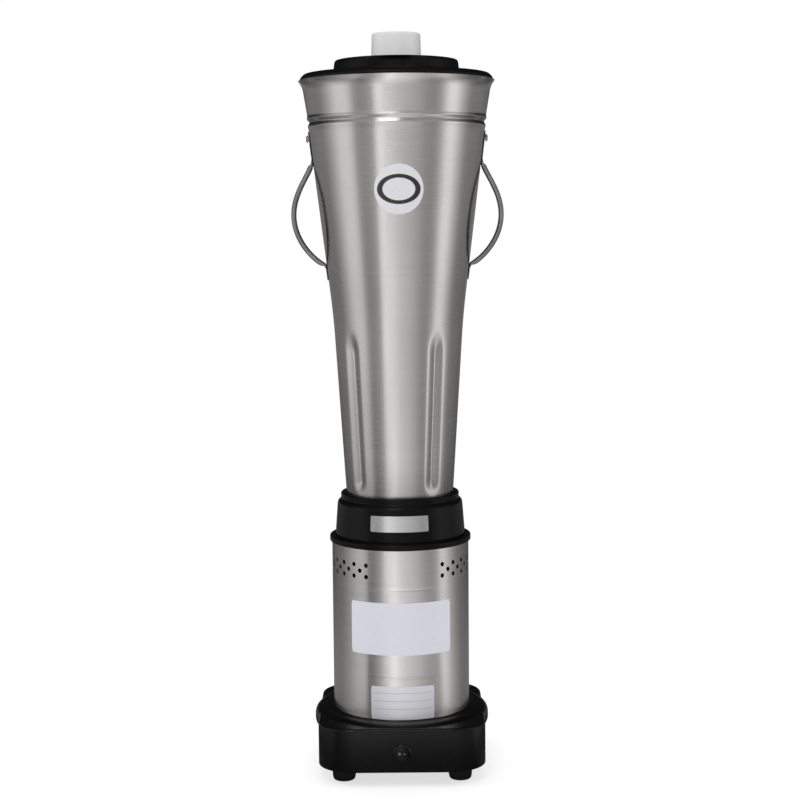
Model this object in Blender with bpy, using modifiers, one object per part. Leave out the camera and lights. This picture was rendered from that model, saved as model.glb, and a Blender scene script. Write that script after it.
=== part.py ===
"""Industrial blender: steel jar with four pressed flutes on a tall motor base.

Metres, +Z up. The origin is on the floor, under the axis of the jar and motor.
The front, with the switch, faces -Y, and the two handles lie on +X and -X.
"""
import math

import bmesh
import bpy
from mathutils import Matrix, Vector

# Fits between pieces
SEAT_GAP = 0.0003        # faces that rest on each other
SLIDE_GAP = 0.0004       # a piece that slides into another
TURN_GAP = 0.0006        # round a piece that turns
SCREW_GAP = 0.0003       # round a screw's shank
EDGE_BREAK = 0.0008      # broken edge of a turned piece

# Feet and their screws
FOOT_HEIGHT = 0.0172
FOOT_RADIUS = 0.0133
FOOT_TOE_RADIUS = 0.0112
FOOT_SIDE_INSET = 0.029   # from the side of the base in to a foot's middle
FOOT_END_INSET = 0.036    # from its front or back
FOOT_RECESS_RADIUS = 0.0066
FOOT_RECESS_DEPTH = 0.0065
SCREW_RADIUS = 0.0021
SCREW_HEAD_RADIUS = 0.0042
SCREW_HEAD_HEIGHT = 0.0026
FOOT_SCREW_LENGTH = 0.030

# Base moulding and its cover
BASE_WIDTH = 0.190
BASE_DEPTH = 0.204
BASE_HEIGHT = 0.050
BASE_CORNER = 0.041
BASE_EDGE = 0.003
BASE_WALL = 0.0035
BASE_ROOF = 0.004
POST_RADIUS = 0.0065
COVER_THICKNESS = 0.003
COVER_SLOT_COUNT = 6
COVER_SLOT_LENGTH = 0.052
COVER_SLOT_WIDTH = 0.004
COVER_SLOT_PITCH = 0.0105
COVER_SLOT_Y = -0.040
BULGE_RADIUS = 0.101
BULGE_RISE = 0.003
BULGE_DROP = 0.0200
BULGE_ROUND = 0.0095
BULGE_CROWN = 0.012
BASE_OPENING_RADIUS = 0.044
SPIGOT_HEIGHT = 0.005
SPIGOT_WALL = 0.003

# Round rocker switch in the front
SWITCH_HEIGHT = 0.0400
SWITCH_FLANGE_RADIUS = 0.0106
SWITCH_FLANGE_THICKNESS = 0.002
SWITCH_BARREL_RADIUS = 0.0094
SWITCH_BARREL_DEPTH = 0.016
SWITCH_BORE_RADIUS = 0.0086
SWITCH_CHAMFER = 0.0012
SWITCH_FLOOR = 0.002
ROCKER_GAP = 0.0003
ROCKER_PROUD = 0.0001    # middle of the rocker's face, in front of the bezel
ROCKER_FACE_RADIUS = 0.0183
ROCKER_BACK = 0.0042     # from the pivot to the rocker's flat back
ROCKER_THROW = 20.0      # degrees between off and on

# Cord gland in the back
GLAND_HEIGHT = 0.036
GLAND_FLANGE_RADIUS = 0.0085
GLAND_BARREL_RADIUS = 0.0065
GLAND_BORE_RADIUS = 0.0038
GLAND_STAND = 0.009
GLAND_TAPER = 0.0012
GLAND_FLANGE_THICKNESS = 0.0028
GLAND_DEPTH = 0.0077

# Steel motor housing
TUBE_RADIUS = 0.079
TUBE_WALL = 0.001
TUBE_HEIGHT = 0.1974
VENT_RADIUS = 0.0026
VENT_ROW_DROP = 0.0282   # middle row, below the top of the housing
VENT_ROW_PITCH = 0.0065
VENT_COLUMN_PITCH = 12.4
VENT_FIRST_COLUMN = 33.0
VENT_COLUMNS = 5
VENT_TURN = 3.5
VENT_CUT_LENGTH = 0.008

# Collar that carries the jar
FLANGE_RADIUS = 0.0815
FLANGE_DROP = 0.0042
FLANGE_HEIGHT = 0.0074
COLLAR_CONE_RADIUS = 0.0758
COLLAR_SHOULDER_RADIUS = 0.0729
COLLAR_SHOULDER_HEIGHT = 0.0387
SHOULDER_ROUND = 0.0065
SHOULDER_CHAMFER = 0.0012
STEP_RISE = 0.003
COLLAR_LIP_RADIUS = 0.0689
COLLAR_LIP_ROUND = 0.0036
CONE_GROOVE = 0.0004     # depth of the groove at the foot of the cone
CONE_GROOVE_HEIGHT = 0.002
FLANGE_ROUND = 0.003
FLANGE_FOOT_ROUND = 0.0018
COLLAR_HEIGHT = 0.0569
COLLAR_WALL = 0.003
COLLAR_CUP_DEPTH = 0.0282
COLLAR_FLOOR = 0.003
COLLAR_HOLE_RADIUS = 0.034
COLLAR_WEB = 0.003       # from the shoulder's inside up to the cup
CUP_CLEARANCE = 0.0015   # beside the seat ring
COLLAR_SKIRT_DROP = 0.007
SEAT_RING_HEIGHT = 0.004
SEAT_RING_WIDTH = 0.010
SEAT_RING_RADIUS = 0.0605
POST_CIRCLE_RADIUS = 0.042
POST_SPACER_RADIUS = 0.0045
COLLAR_SCREW_LENGTH = 0.014

# Motor
BEARING_RADIUS = 0.0175
BEARING_HEIGHT = 0.010
MOTOR_SHAFT_RADIUS = 0.007
BRACKET_PLATE = 0.006
BRACKET_WALL = 0.004
STACK_RADIUS = 0.060
STACK_BORE_RADIUS = 0.0328
STACK_HEIGHT = 0.065
LOWER_BRACKET_HEIGHT = 0.044
UPPER_BRACKET_HEIGHT = 0.048
BEARING_SHELF = 0.004
SHAFT_HOLE_GAP = 0.0015
WINDING_HEIGHT = 0.018
WINDING_INNER_RADIUS = 0.037
WINDING_OUTER_RADIUS = 0.0545
WINDING_ROUND = 0.004
ROTOR_HEIGHT = 0.060
FAN_RADIUS = 0.051
FAN_HUB_RADIUS = 0.012
FAN_PLATE = 0.002
FAN_HEIGHT = 0.011
FAN_BLADES = 8
FAN_BLADE_THICKNESS = 0.0016
FAN_BLADE_INSET = 0.001
FAN_GAP = 0.0007        # under the upper bearing's pocket
TIE_BOLT_RADIUS = 0.0024
TIE_BOLT_CIRCLE_RADIUS = 0.0665
TIE_BOLT_HEAD_RADIUS = 0.0042
TIE_BOLT_HEAD_HEIGHT = 0.003
AIR_HOLE_RADIUS = 0.007
SHAFT_END_GAP = 0.001
SHAFT_SUNK = 0.0015      # end of the motor shaft, below the drive coupling's face

# Couplings between motor and jar
COUPLING_RADIUS = 0.024
COUPLING_HUB_RADIUS = 0.011
COUPLING_PLATE = 0.0045
COUPLING_LUGS = 4
COUPLING_LUG_ANGLE = 30.0
COUPLING_LUG_HEIGHT = 0.0105
COUPLING_LUG_INNER_RADIUS = 0.0125
COUPLING_END_GAP = 0.0012
LUG_ROOT = 0.001         # how far a lug reaches into its plate
DRIVEN_HUB_INSET = 0.004
BLADE_SHAFT_INSET = 0.005
DRIVE_HUB_HEIGHT = 0.010

# Jar: radii of the outside and depths below the rim
JAR_WALL = 0.001
JAR_HEIGHT = 0.492
JAR_COLUMNS = 44
RIM_RADIUS = 0.1111
RIM_FLARE = 0.009
RIM_STEP = 0.45          # share of the flare's depth where it steepens
MOUTH_INSET = 0.0051     # from the rim's edge in to the foot of the flare
BAND_TAPER = 0.0050
BAND_HEIGHT = 0.0400
GROOVE_INSET = 0.0021
GROOVE_DROP = 0.0042
BEAD_INSET = 0.0007
BEAD_DROP = 0.0065
KNEE_RADIUS = 0.0739
KNEE_HEIGHT = 0.222      # above the bottom of the jar
KNEE_ROUND = 0.020
JAR_FOOT_RADIUS = 0.0602
JAR_FOOT_ROUND = 0.005
FLUTE_COUNT = 4
FLUTE_TURN = -3.0
FLUTE_WIDTH = 0.023
FLUTE_DEPTH = 0.0085
FLUTE_FOOT_HEIGHT = 0.022
FLUTE_TOP_HEIGHT = 0.205
FLUTE_FOOT_FADE = 0.012
FLUTE_TOP_FADE = 0.045
COLUMN_SQUEEZE = 0.145   # radians that the jar's columns lean towards a flute

# Handles
HANDLE_TOP_DROP = 0.095   # upper joint, below the rim
HANDLE_GRIP_DROP = 0.158
HANDLE_FOOT_DROP = 0.207
HANDLE_BOW = 0.0278      # from the line between the joints out to the grip
HANDLE_TOP_EASE = 2.6    # how late the bow leaves the upper joint
HANDLE_FOOT_EASE = 1.6
HANDLE_THICKNESS = 0.0058
HANDLE_WIDTH = 0.016
TAB_THICKNESS = 0.0014
UPPER_TAB_LENGTH = 0.040
LOWER_TAB_LENGTH = 0.018
TAB_END = 0.006          # rounded end of a tab
TAB_RUN = 0.006          # from a joint to the flat of its tab
TAB_EASE = 0.0002
RIVET_DROP = 0.009       # below the upper end of the tab
RIVET_RADIUS = 0.0020
RIVET_HEAD_RADIUS = 0.0039
RIVET_HEAD_HEIGHT = 0.0030
RIVET_SEAT = 0.0008      # from the tab to the underside of the head
RIVET_INNER_GAP = 0.0012
RIVET_FOOT_HEIGHT = 0.0008
RIVET_HOLE_LENGTH = 0.012

# Bearing in the floor of the jar
NECK_RADIUS = 0.0128
NECK_HEIGHT = 0.0115     # above the underside of the jar
HOUSING_FLANGE_RADIUS = 0.030
HOUSING_FLANGE_THICKNESS = 0.005
HOUSING_BARREL_RADIUS = 0.0165
HOUSING_DEPTH = 0.0295
HOUSING_BORE_RADIUS = 0.010
RING_NUT_RADIUS = 0.021
RING_NUT_HEIGHT = 0.0055
RING_NUT_CHAMFER = 0.001
HOUSING_FLANGE_BACK = 0.002
BUSH_HEIGHT = 0.0135
SEAL_HEIGHT = 0.004

# Blade
BLADE_SHAFT_RADIUS = 0.006
BLADE_STUD_RADIUS = 0.004
BLADE_SHAFT_RISE = 0.0145
BLADE_STUD_LENGTH = 0.010
BLADE_REACH = 0.044
BLADE_WIDTH = 0.014
BLADE_TIP_WIDTH = 0.009
BLADE_SWEEP = 0.003
BLADE_THICKNESS = 0.0024
BLADE_HUB_RADIUS = 0.0105
BLADE_BEND_RADIUS = 0.015
BLADE_UP_BEND = 24.0
BLADE_DOWN_BEND = 7.0
BLADE_NUT_RADIUS = 0.008
BLADE_NUT_HEIGHT = 0.0115
BLADE_NUT_FLANGE = 0.0055
BLADE_NUT_DOME = 0.0028

# Lid and its cap
LID_FLANGE_INSET = 0.0020
LID_EDGE = 0.0036
LID_EDGE_SLOPE = 0.0030
LID_FLANGE_HEIGHT = 0.0072
LID_WALL = 0.003
LID_PLUG_DEPTH = 0.019
CROWN_RADIUS = 0.0714
CROWN_HEIGHT = 0.0157
CROWN_ROUND = 0.0034
CROWN_FOOT = 0.0015
CROWN_FOOT_SPREAD = 0.0030
SCALLOP_COUNT = 3
SCALLOP_DEPTH = 0.013
SCALLOP_ANGLE = 54.0
LID_HOLE_RADIUS = 0.025
LID_SLEEVE_DEPTH = 0.013
PLUG_GAP = 0.0012
CAP_RADIUS = 0.0276
CAP_FOOT_RADIUS = 0.0284
CAP_HEIGHT = 0.0290
CAP_ROUND = 0.003
CAP_WALL = 0.002
CAP_SLEEVE_DEPTH = 0.022
CAP_SLEEVE_TAPER = 0.0004

# Run capacitor and its clip
CAPACITOR_RADIUS = 0.0165
CAPACITOR_LENGTH = 0.062
CAPACITOR_BACK_GAP = 0.036
CAPACITOR_CHAMFER = 0.001
CLIP_THICKNESS = 0.0012
CLIP_WIDTH = 0.012
CLIP_FOOT_LENGTH = 0.010

# Levels and radii that follow
BASE_BOTTOM = FOOT_HEIGHT + SEAT_GAP
BASE_TOP = BASE_BOTTOM + BASE_HEIGHT
BULGE_TOP = BASE_TOP + BULGE_RISE
BASE_CEILING = BASE_TOP - BASE_ROOF
COVER_TOP = BASE_BOTTOM + COVER_THICKNESS
TUBE_BOTTOM = BULGE_TOP + SEAT_GAP
TUBE_TOP = TUBE_BOTTOM + TUBE_HEIGHT
FLANGE_BOTTOM = TUBE_TOP + SEAT_GAP - FLANGE_DROP
COLLAR_TOP = FLANGE_BOTTOM + COLLAR_HEIGHT
CUP_FLOOR = COLLAR_TOP - COLLAR_CUP_DEPTH
JAR_BOTTOM = CUP_FLOOR + SEAT_GAP + SEAT_RING_HEIGHT + SEAT_GAP
RIM_TOP = JAR_BOTTOM + JAR_HEIGHT
STACK_BOTTOM = TUBE_BOTTOM + LOWER_BRACKET_HEIGHT + SEAT_GAP
STACK_TOP = STACK_BOTTOM + STACK_HEIGHT
BRACKET_TOP = STACK_TOP + SEAT_GAP + UPPER_BRACKET_HEIGHT
HOUSING_BOTTOM = JAR_BOTTOM - HOUSING_DEPTH
DRIVEN_TOP = HOUSING_BOTTOM - TURN_GAP
DRIVEN_PLATE_BOTTOM = DRIVEN_TOP - COUPLING_PLATE
LUG_BOTTOM = DRIVEN_PLATE_BOTTOM - COUPLING_LUG_HEIGHT
DRIVE_PLATE_TOP = LUG_BOTTOM - COUPLING_END_GAP
DRIVE_BOTTOM = DRIVE_PLATE_TOP - COUPLING_PLATE - DRIVE_HUB_HEIGHT
NECK_TOP = JAR_BOTTOM + NECK_HEIGHT
BLADE_SEAT = JAR_BOTTOM + BLADE_SHAFT_RISE
MOUTH_RADIUS = RIM_RADIUS - MOUTH_INSET
BAND_FOOT_RADIUS = MOUTH_RADIUS - BAND_TAPER
BEAD_RADIUS = BAND_FOOT_RADIUS - BEAD_INSET
LID_FLANGE_RADIUS = RIM_RADIUS - LID_FLANGE_INSET
LID_TOP = RIM_TOP + LID_FLANGE_HEIGHT
CROWN_TOP = LID_TOP + CROWN_HEIGHT

COLLECTION = "industrial_blender"
CUTTERS = "cutters"

STEEL = ("steel", (0.60, 0.59, 0.58), 0.32, 1.0)
DARK_STEEL = ("dark_steel", (0.33, 0.32, 0.32), 0.42, 1.0)
BLACK = ("black_moulding", (0.018, 0.018, 0.019), 0.38, 0.0)
RUBBER = ("black_rubber", (0.015, 0.015, 0.015), 0.62, 0.0)
WHITE = ("white_plastic", (0.74, 0.74, 0.73), 0.40, 0.0)
ALUMINIUM = ("cast_aluminium", (0.55, 0.55, 0.56), 0.50, 1.0)
BRONZE = ("bronze", (0.55, 0.36, 0.17), 0.38, 1.0)
IRON = ("stack_iron", (0.20, 0.20, 0.21), 0.55, 1.0)
COPPER = ("winding", (0.42, 0.17, 0.07), 0.45, 0.0)
NYLON = ("nylon", (0.05, 0.05, 0.055), 0.45, 0.0)
CAN = ("capacitor_can", (0.50, 0.51, 0.52), 0.40, 0.0)


def clear_scene():
    """Remove every object that the scene starts with."""
    for obj in list(bpy.data.objects):
        bpy.data.objects.remove(obj, do_unlink=True)


def make_collection(name):
    """Add a collection under the scene."""
    collection = bpy.data.collections.new(name)
    bpy.context.scene.collection.children.link(collection)
    return collection


def make_material(name, finish):
    """Make a Principled BSDF material for one node."""
    _, colour, roughness, metallic = finish
    material = bpy.data.materials.new(name)
    material.use_nodes = True
    shader = material.node_tree.nodes["Principled BSDF"]
    shader.inputs["Base Color"].default_value = (*colour, 1.0)
    shader.inputs["Roughness"].default_value = roughness
    shader.inputs["Metallic"].default_value = metallic
    return material


def add_part(name, mesh, finish, parent=None):
    """Put a mesh into the blender's collection as one node."""
    obj = bpy.data.objects.new(name, mesh)
    bpy.data.collections[COLLECTION].objects.link(obj)
    mesh.materials.clear()
    mesh.materials.append(make_material(name, finish))
    obj.parent = parent
    return obj


def add_cutter(name, mesh):
    """Put a mesh into the cutters' collection, out of the render."""
    obj = bpy.data.objects.new(name, mesh)
    bpy.data.collections[CUTTERS].objects.link(obj)
    obj.hide_render = True
    obj.display_type = 'WIRE'
    return obj


def add_group(name, location=(0.0, 0.0, 0.0), parent=None):
    """Add an empty that carries one moving unit."""
    empty = bpy.data.objects.new(name, None)
    bpy.data.collections[COLLECTION].objects.link(empty)
    empty.location = location
    empty.parent = parent
    return empty


def combine(obj, tool, operation):
    """Cut or join a part with a tool shape."""
    modifier = obj.modifiers.new(tool.name, 'BOOLEAN')
    modifier.object = tool
    modifier.operation = operation
    modifier.solver = 'EXACT'
    return obj


def settle(obj):
    """Turn an object's modifiers into plain mesh."""
    graph = bpy.context.evaluated_depsgraph_get()
    mesh = bpy.data.meshes.new_from_object(obj.evaluated_get(graph))
    obj.modifiers.clear()
    obj.data = mesh
    return mesh


def shade_round(mesh, degrees=35.0):
    """Shade a mesh smooth, with its sharp edges kept."""
    mesh.shade_smooth()
    mesh.set_sharp_from_angle(angle=math.radians(degrees))


def profile_mesh(name, profile, closed):
    """Make a line of (radius, height) points in the XZ plane."""
    mesh = bpy.data.meshes.new(name)
    edges = [(i, i + 1) for i in range(len(profile) - 1)]
    if closed:
        edges.append((len(profile) - 1, 0))
    mesh.from_pydata([(radius, 0.0, height) for radius, height in profile], edges, [])
    return mesh


def turn(obj, steps):
    """Turn a profile about its Z axis."""
    screw = obj.modifiers.new("Turn", 'SCREW')
    screw.axis = 'Z'
    screw.angle = math.tau
    screw.steps = steps
    screw.render_steps = steps
    screw.use_merge_vertices = True
    screw.merge_threshold = 0.00001
    screw.use_smooth_shade = True
    return obj


def turned(name, profile, finish, steps, closed=True, parent=None):
    """A turned part. The profile runs down its outside, and up its bore."""
    return turn(add_part(name, profile_mesh(name, profile, closed), finish, parent), steps)


def turned_cutter(name, profile, steps, closed=True):
    """A turned cutter."""
    return turn(add_cutter(name, profile_mesh(name, profile, closed)), steps)


def ring_profile(inner, outer, bottom, top, chamfer=0.0):
    """Section of a plain ring, with its outer edges broken."""
    if chamfer == 0.0:
        return [(outer, top), (outer, bottom), (inner, bottom), (inner, top)]
    return [(outer - chamfer, top), (outer, top - chamfer), (outer, bottom + chamfer),
            (outer - chamfer, bottom), (inner, bottom), (inner, top)]


def arc(centre, radius, start, end, segments):
    """Points of an arc in degrees, first and last included."""
    points = []
    for i in range(segments + 1):
        angle = math.radians(start + (end - start) * i / segments)
        points.append((centre[0] + radius * math.cos(angle), centre[1] + radius * math.sin(angle)))
    return points


def smooth_step(value):
    """Ease from 0 to 1."""
    value = min(1.0, max(0.0, value))
    return value * value * (3.0 - 2.0 * value)


def rods(name, places, radius, length, sides=12, top_radius=None):
    """A cutter of separate rods. Each place is a matrix whose Z axis runs along the rod."""
    shape = bmesh.new()
    for place in places:
        bmesh.ops.create_cone(shape, cap_ends=True, segments=sides, radius1=radius,
                              radius2=radius if top_radius is None else top_radius,
                              depth=length, matrix=place)
    mesh = bpy.data.meshes.new(name)
    shape.to_mesh(mesh)
    shape.free()
    return add_cutter(name, mesh)


def boxes(name, places, size):
    """A cutter of separate boxes, one at each matrix."""
    shape = bmesh.new()
    for place in places:
        sized = place @ Matrix.Diagonal((*size, 1.0))
        bmesh.ops.create_cube(shape, size=1.0, matrix=sized)
    mesh = bpy.data.meshes.new(name)
    shape.to_mesh(mesh)
    shape.free()
    return add_cutter(name, mesh)


def rounded_block(name, width, depth, bottom, top, corner, segments, edge=0.0):
    """A mesh block with rounded upright corners and, where asked, a rounded top edge."""
    height = top - bottom
    shape = bmesh.new()
    bmesh.ops.create_cube(shape, size=1.0)
    bmesh.ops.scale(shape, vec=(width, depth, height), verts=shape.verts)
    upright = [e for e in shape.edges
               if abs(e.verts[0].co.z - e.verts[1].co.z) > height / 2]
    bmesh.ops.bevel(shape, geom=upright, offset=corner, offset_type='OFFSET',
                    segments=segments, profile=0.5, affect='EDGES')
    if edge > 0.0:
        rim = [e for e in shape.edges
               if min(e.verts[0].co.z, e.verts[1].co.z) > height / 2 - 1e-6]
        bmesh.ops.bevel(shape, geom=rim, offset=edge, offset_type='OFFSET',
                        segments=2, profile=0.5, affect='EDGES')
    bmesh.ops.translate(shape, vec=(0.0, 0.0, (bottom + top) / 2), verts=shape.verts)
    mesh = bpy.data.meshes.new(name)
    shape.to_mesh(mesh)
    shape.free()
    return mesh


def around(radius, height, degrees):
    """A place on a circle about the Z axis, turned with it."""
    turn_matrix = Matrix.Rotation(math.radians(degrees), 4, 'Z')
    return turn_matrix @ Matrix.Translation((radius, 0.0, height))


def corner_places(height):
    """Middles of the four feet, at a height."""
    side = BASE_WIDTH / 2 - FOOT_SIDE_INSET
    end = BASE_DEPTH / 2 - FOOT_END_INSET
    return [Vector((x, y, height)) for y in (-end, end) for x in (-side, side)]


def pan_screw(name, location, length, finish, head_up, parent=None):
    """A pan-head screw. Its head's underside is at the location."""
    profile = [(0.0, SCREW_HEAD_HEIGHT), (SCREW_HEAD_RADIUS * 0.62, SCREW_HEAD_HEIGHT),
               (SCREW_HEAD_RADIUS, SCREW_HEAD_HEIGHT * 0.35), (SCREW_HEAD_RADIUS, 0.0),
               (SCREW_RADIUS, 0.0), (SCREW_RADIUS, -length), (0.0, -length)]
    screw = turned(name, profile, finish, 8, closed=False, parent=parent)
    screw.location = location
    if not head_up:
        screw.rotation_euler = (math.pi, 0.0, 0.0)
    return screw


# Base

def make_base():
    """Hollow moulding: a rounded square box with a round bulge that carries the housing."""
    base = add_part("base", rounded_block("base", BASE_WIDTH, BASE_DEPTH, BASE_BOTTOM, BASE_TOP,
                                          BASE_CORNER, 5, BASE_EDGE), BLACK)
    bulge_bottom = BASE_TOP - BULGE_DROP
    bulge = arc((BULGE_RADIUS - BULGE_CROWN, BULGE_TOP - BULGE_CROWN), BULGE_CROWN, 90, 0, 3)
    bulge += arc((BULGE_RADIUS - BULGE_ROUND, bulge_bottom + BULGE_ROUND), BULGE_ROUND, 0, -90, 2)
    spigot = TUBE_RADIUS - TUBE_WALL - SEAT_GAP
    bulge += [(BASE_OPENING_RADIUS, bulge_bottom), (BASE_OPENING_RADIUS, BULGE_TOP),
              (spigot - SPIGOT_WALL, BULGE_TOP), (spigot - SPIGOT_WALL, BULGE_TOP + SPIGOT_HEIGHT),
              (spigot, BULGE_TOP + SPIGOT_HEIGHT), (spigot, BULGE_TOP)]
    combine(base, turned_cutter("base_bulge", bulge, 40), 'UNION')
    cavity = rounded_block("base_cavity", BASE_WIDTH - 2 * BASE_WALL, BASE_DEPTH - 2 * BASE_WALL,
                           BASE_BOTTOM - BASE_WALL, BASE_CEILING, BASE_CORNER - BASE_WALL, 4)
    combine(base, add_cutter("base_cavity", cavity), 'DIFFERENCE')
    post_bottom = COVER_TOP + SEAT_GAP
    post_top = BASE_CEILING + BASE_ROOF / 2
    post_places = [Matrix.Translation((p.x, p.y, (post_bottom + post_top) / 2))
                   for p in corner_places(0.0)]
    combine(base, rods("base_posts", post_places, POST_RADIUS, post_top - post_bottom, 8), 'UNION')
    hole_bottom = post_bottom - BASE_WALL
    hole_top = FOOT_RECESS_DEPTH + FOOT_SCREW_LENGTH + SCREW_HEAD_HEIGHT
    screw_places = [Matrix.Translation((p.x, p.y, (hole_bottom + hole_top) / 2))
                    for p in corner_places(0.0)]
    combine(base, rods("base_screw_holes", screw_places, SCREW_RADIUS + SCREW_GAP,
                       hole_top - hole_bottom, 8), 'DIFFERENCE')
    roof = Matrix.Translation((0.0, 0.0, BASE_TOP - BASE_ROOF / 2))
    combine(base, rods("base_opening", [roof], BASE_OPENING_RADIUS + SEAT_GAP,
                       2 * BASE_ROOF + BULGE_RISE, 24), 'DIFFERENCE')
    front = Matrix.Translation((0.0, -BASE_DEPTH / 2, SWITCH_HEIGHT)) @ Matrix.Rotation(
        math.pi / 2, 4, 'X')
    combine(base, rods("switch_hole", [front], SWITCH_BARREL_RADIUS + SEAT_GAP,
                       4 * BASE_WALL, 20), 'DIFFERENCE')
    back = Matrix.Translation((0.0, BASE_DEPTH / 2, GLAND_HEIGHT)) @ Matrix.Rotation(
        math.pi / 2, 4, 'X')
    combine(base, rods("gland_hole", [back], GLAND_BARREL_RADIUS + SEAT_GAP,
                       4 * BASE_WALL, 12), 'DIFFERENCE')
    return base


def make_bottom_cover():
    """Plate that closes the base from below, with air slots and screw holes."""
    gap = BASE_WALL + SLIDE_GAP
    cover = add_part("bottom_cover", rounded_block(
        "bottom_cover", BASE_WIDTH - 2 * gap, BASE_DEPTH - 2 * gap, BASE_BOTTOM, COVER_TOP,
        BASE_CORNER - gap, 4), BLACK)
    middle = (BASE_BOTTOM + COVER_TOP) / 2
    places = [Matrix.Translation((p.x, p.y, middle)) for p in corner_places(0.0)]
    combine(cover, rods("cover_screw_holes", places, SCREW_RADIUS + SCREW_GAP,
                        3 * COVER_THICKNESS, 8), 'DIFFERENCE')
    slots = [Matrix.Translation((0.0, COVER_SLOT_Y + COVER_SLOT_PITCH * i, middle))
             for i in range(COVER_SLOT_COUNT)]
    combine(cover, boxes("cover_slots", slots, (COVER_SLOT_LENGTH, COVER_SLOT_WIDTH,
                                                3 * COVER_THICKNESS)), 'DIFFERENCE')
    return cover


def make_feet():
    """Four rubber feet, each held by a screw in its recess."""
    bore = SCREW_RADIUS + SCREW_GAP
    profile = [(FOOT_RADIUS, FOOT_HEIGHT), (FOOT_RADIUS, FOOT_HEIGHT * 0.3),
               (FOOT_TOE_RADIUS, 0.0), (FOOT_RECESS_RADIUS, 0.0),
               (FOOT_RECESS_RADIUS, FOOT_RECESS_DEPTH), (bore, FOOT_RECESS_DEPTH),
               (bore, FOOT_HEIGHT)]
    names = ("front_left", "front_right", "rear_left", "rear_right")
    for name, place in zip(names, corner_places(0.0)):
        foot = turned(name + "_foot", profile, RUBBER, 14)
        foot.location = place
        head = Vector((place.x, place.y, FOOT_RECESS_DEPTH - SEAT_GAP))
        pan_screw(name + "_foot_screw", head, FOOT_SCREW_LENGTH, DARK_STEEL, head_up=False)


def make_switch():
    """Round switch: a bezel cup in the front wall, and a rocker that swings in it."""
    front = -BASE_DEPTH / 2
    flange_back = SEAT_GAP
    flange_front = flange_back + SWITCH_FLANGE_THICKNESS
    cup = SWITCH_BARREL_DEPTH - SWITCH_FLOOR
    profile = [(SWITCH_FLANGE_RADIUS - SWITCH_CHAMFER, flange_front),
               (SWITCH_FLANGE_RADIUS, flange_front - SWITCH_CHAMFER),
               (SWITCH_FLANGE_RADIUS, flange_back),
               (SWITCH_BARREL_RADIUS, flange_back), (SWITCH_BARREL_RADIUS, -SWITCH_BARREL_DEPTH),
               (0.0, -SWITCH_BARREL_DEPTH), (0.0, -cup), (SWITCH_BORE_RADIUS, -cup),
               (SWITCH_BORE_RADIUS, flange_front)]
    bezel = turned("switch_bezel", profile, BLACK, 20)
    bezel.location = (0.0, front, SWITCH_HEIGHT)
    bezel.rotation_euler = (math.pi / 2, 0.0, 0.0)

    # The rocker is a ball cut flat behind and dished in front, so it turns freely in the bore.
    pivot = add_group("rocker_pivot", (0.0, front, SWITCH_HEIGHT))
    radius = SWITCH_BORE_RADIUS - ROCKER_GAP
    shape = bmesh.new()
    bmesh.ops.create_uvsphere(shape, u_segments=16, v_segments=10, radius=radius)
    mesh = bpy.data.meshes.new("switch_rocker")
    shape.to_mesh(mesh)
    shape.free()
    rocker = add_part("switch_rocker", mesh, BLACK, pivot)
    shade_round(mesh)
    dish = Matrix.Translation((0.0, -flange_front - ROCKER_PROUD - ROCKER_FACE_RADIUS, 0.0))
    combine(rocker, rods("rocker_dish", [dish], ROCKER_FACE_RADIUS, 4 * radius, 28), 'DIFFERENCE')
    behind = Matrix.Translation((0.0, ROCKER_BACK + radius, 0.0))
    combine(rocker, boxes("rocker_back", [behind], (3 * radius, 2 * radius, 3 * radius)),
            'DIFFERENCE')
    rocker.rotation_euler = (0.0, 0.0, math.radians(-ROCKER_THROW / 2))


def make_cord_gland():
    """Empty gland for the mains lead in the back wall."""
    profile = [(GLAND_BARREL_RADIUS - GLAND_TAPER, GLAND_STAND),
               (GLAND_BARREL_RADIUS, GLAND_FLANGE_THICKNESS + GLAND_TAPER),
               (GLAND_FLANGE_RADIUS, GLAND_FLANGE_THICKNESS), (GLAND_FLANGE_RADIUS, SEAT_GAP),
               (GLAND_BARREL_RADIUS, SEAT_GAP), (GLAND_BARREL_RADIUS, -GLAND_DEPTH),
               (GLAND_BORE_RADIUS, -GLAND_DEPTH), (GLAND_BORE_RADIUS, GLAND_STAND)]
    gland = turned("cord_gland", profile, RUBBER, 12)
    gland.location = (0.0, BASE_DEPTH / 2, GLAND_HEIGHT)
    gland.rotation_euler = (-math.pi / 2, 0.0, 0.0)


# Housing and collar

def make_motor_housing():
    """Steel tube with two groups of round air vents."""
    tube = turned("motor_housing", ring_profile(TUBE_RADIUS - TUBE_WALL, TUBE_RADIUS,
                                                TUBE_BOTTOM, TUBE_TOP), STEEL, 48)
    places = []
    for side in (-1, 1):
        for row in (-1, 0, 1):
            stagger = 0.5 if row == 0 else 0.0
            columns = VENT_COLUMNS - 1 if row == 0 else VENT_COLUMNS
            for column in range(columns):
                angle = side * (VENT_FIRST_COLUMN + VENT_COLUMN_PITCH * (column + stagger))
                height = TUBE_TOP - VENT_ROW_DROP + row * VENT_ROW_PITCH
                place = around(TUBE_RADIUS, height, angle + VENT_TURN - 90.0)
                places.append(place @ Matrix.Rotation(math.pi / 2, 4, 'Y'))
    combine(tube, rods("vents", places, VENT_RADIUS, VENT_CUT_LENGTH, 6), 'DIFFERENCE')


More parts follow.
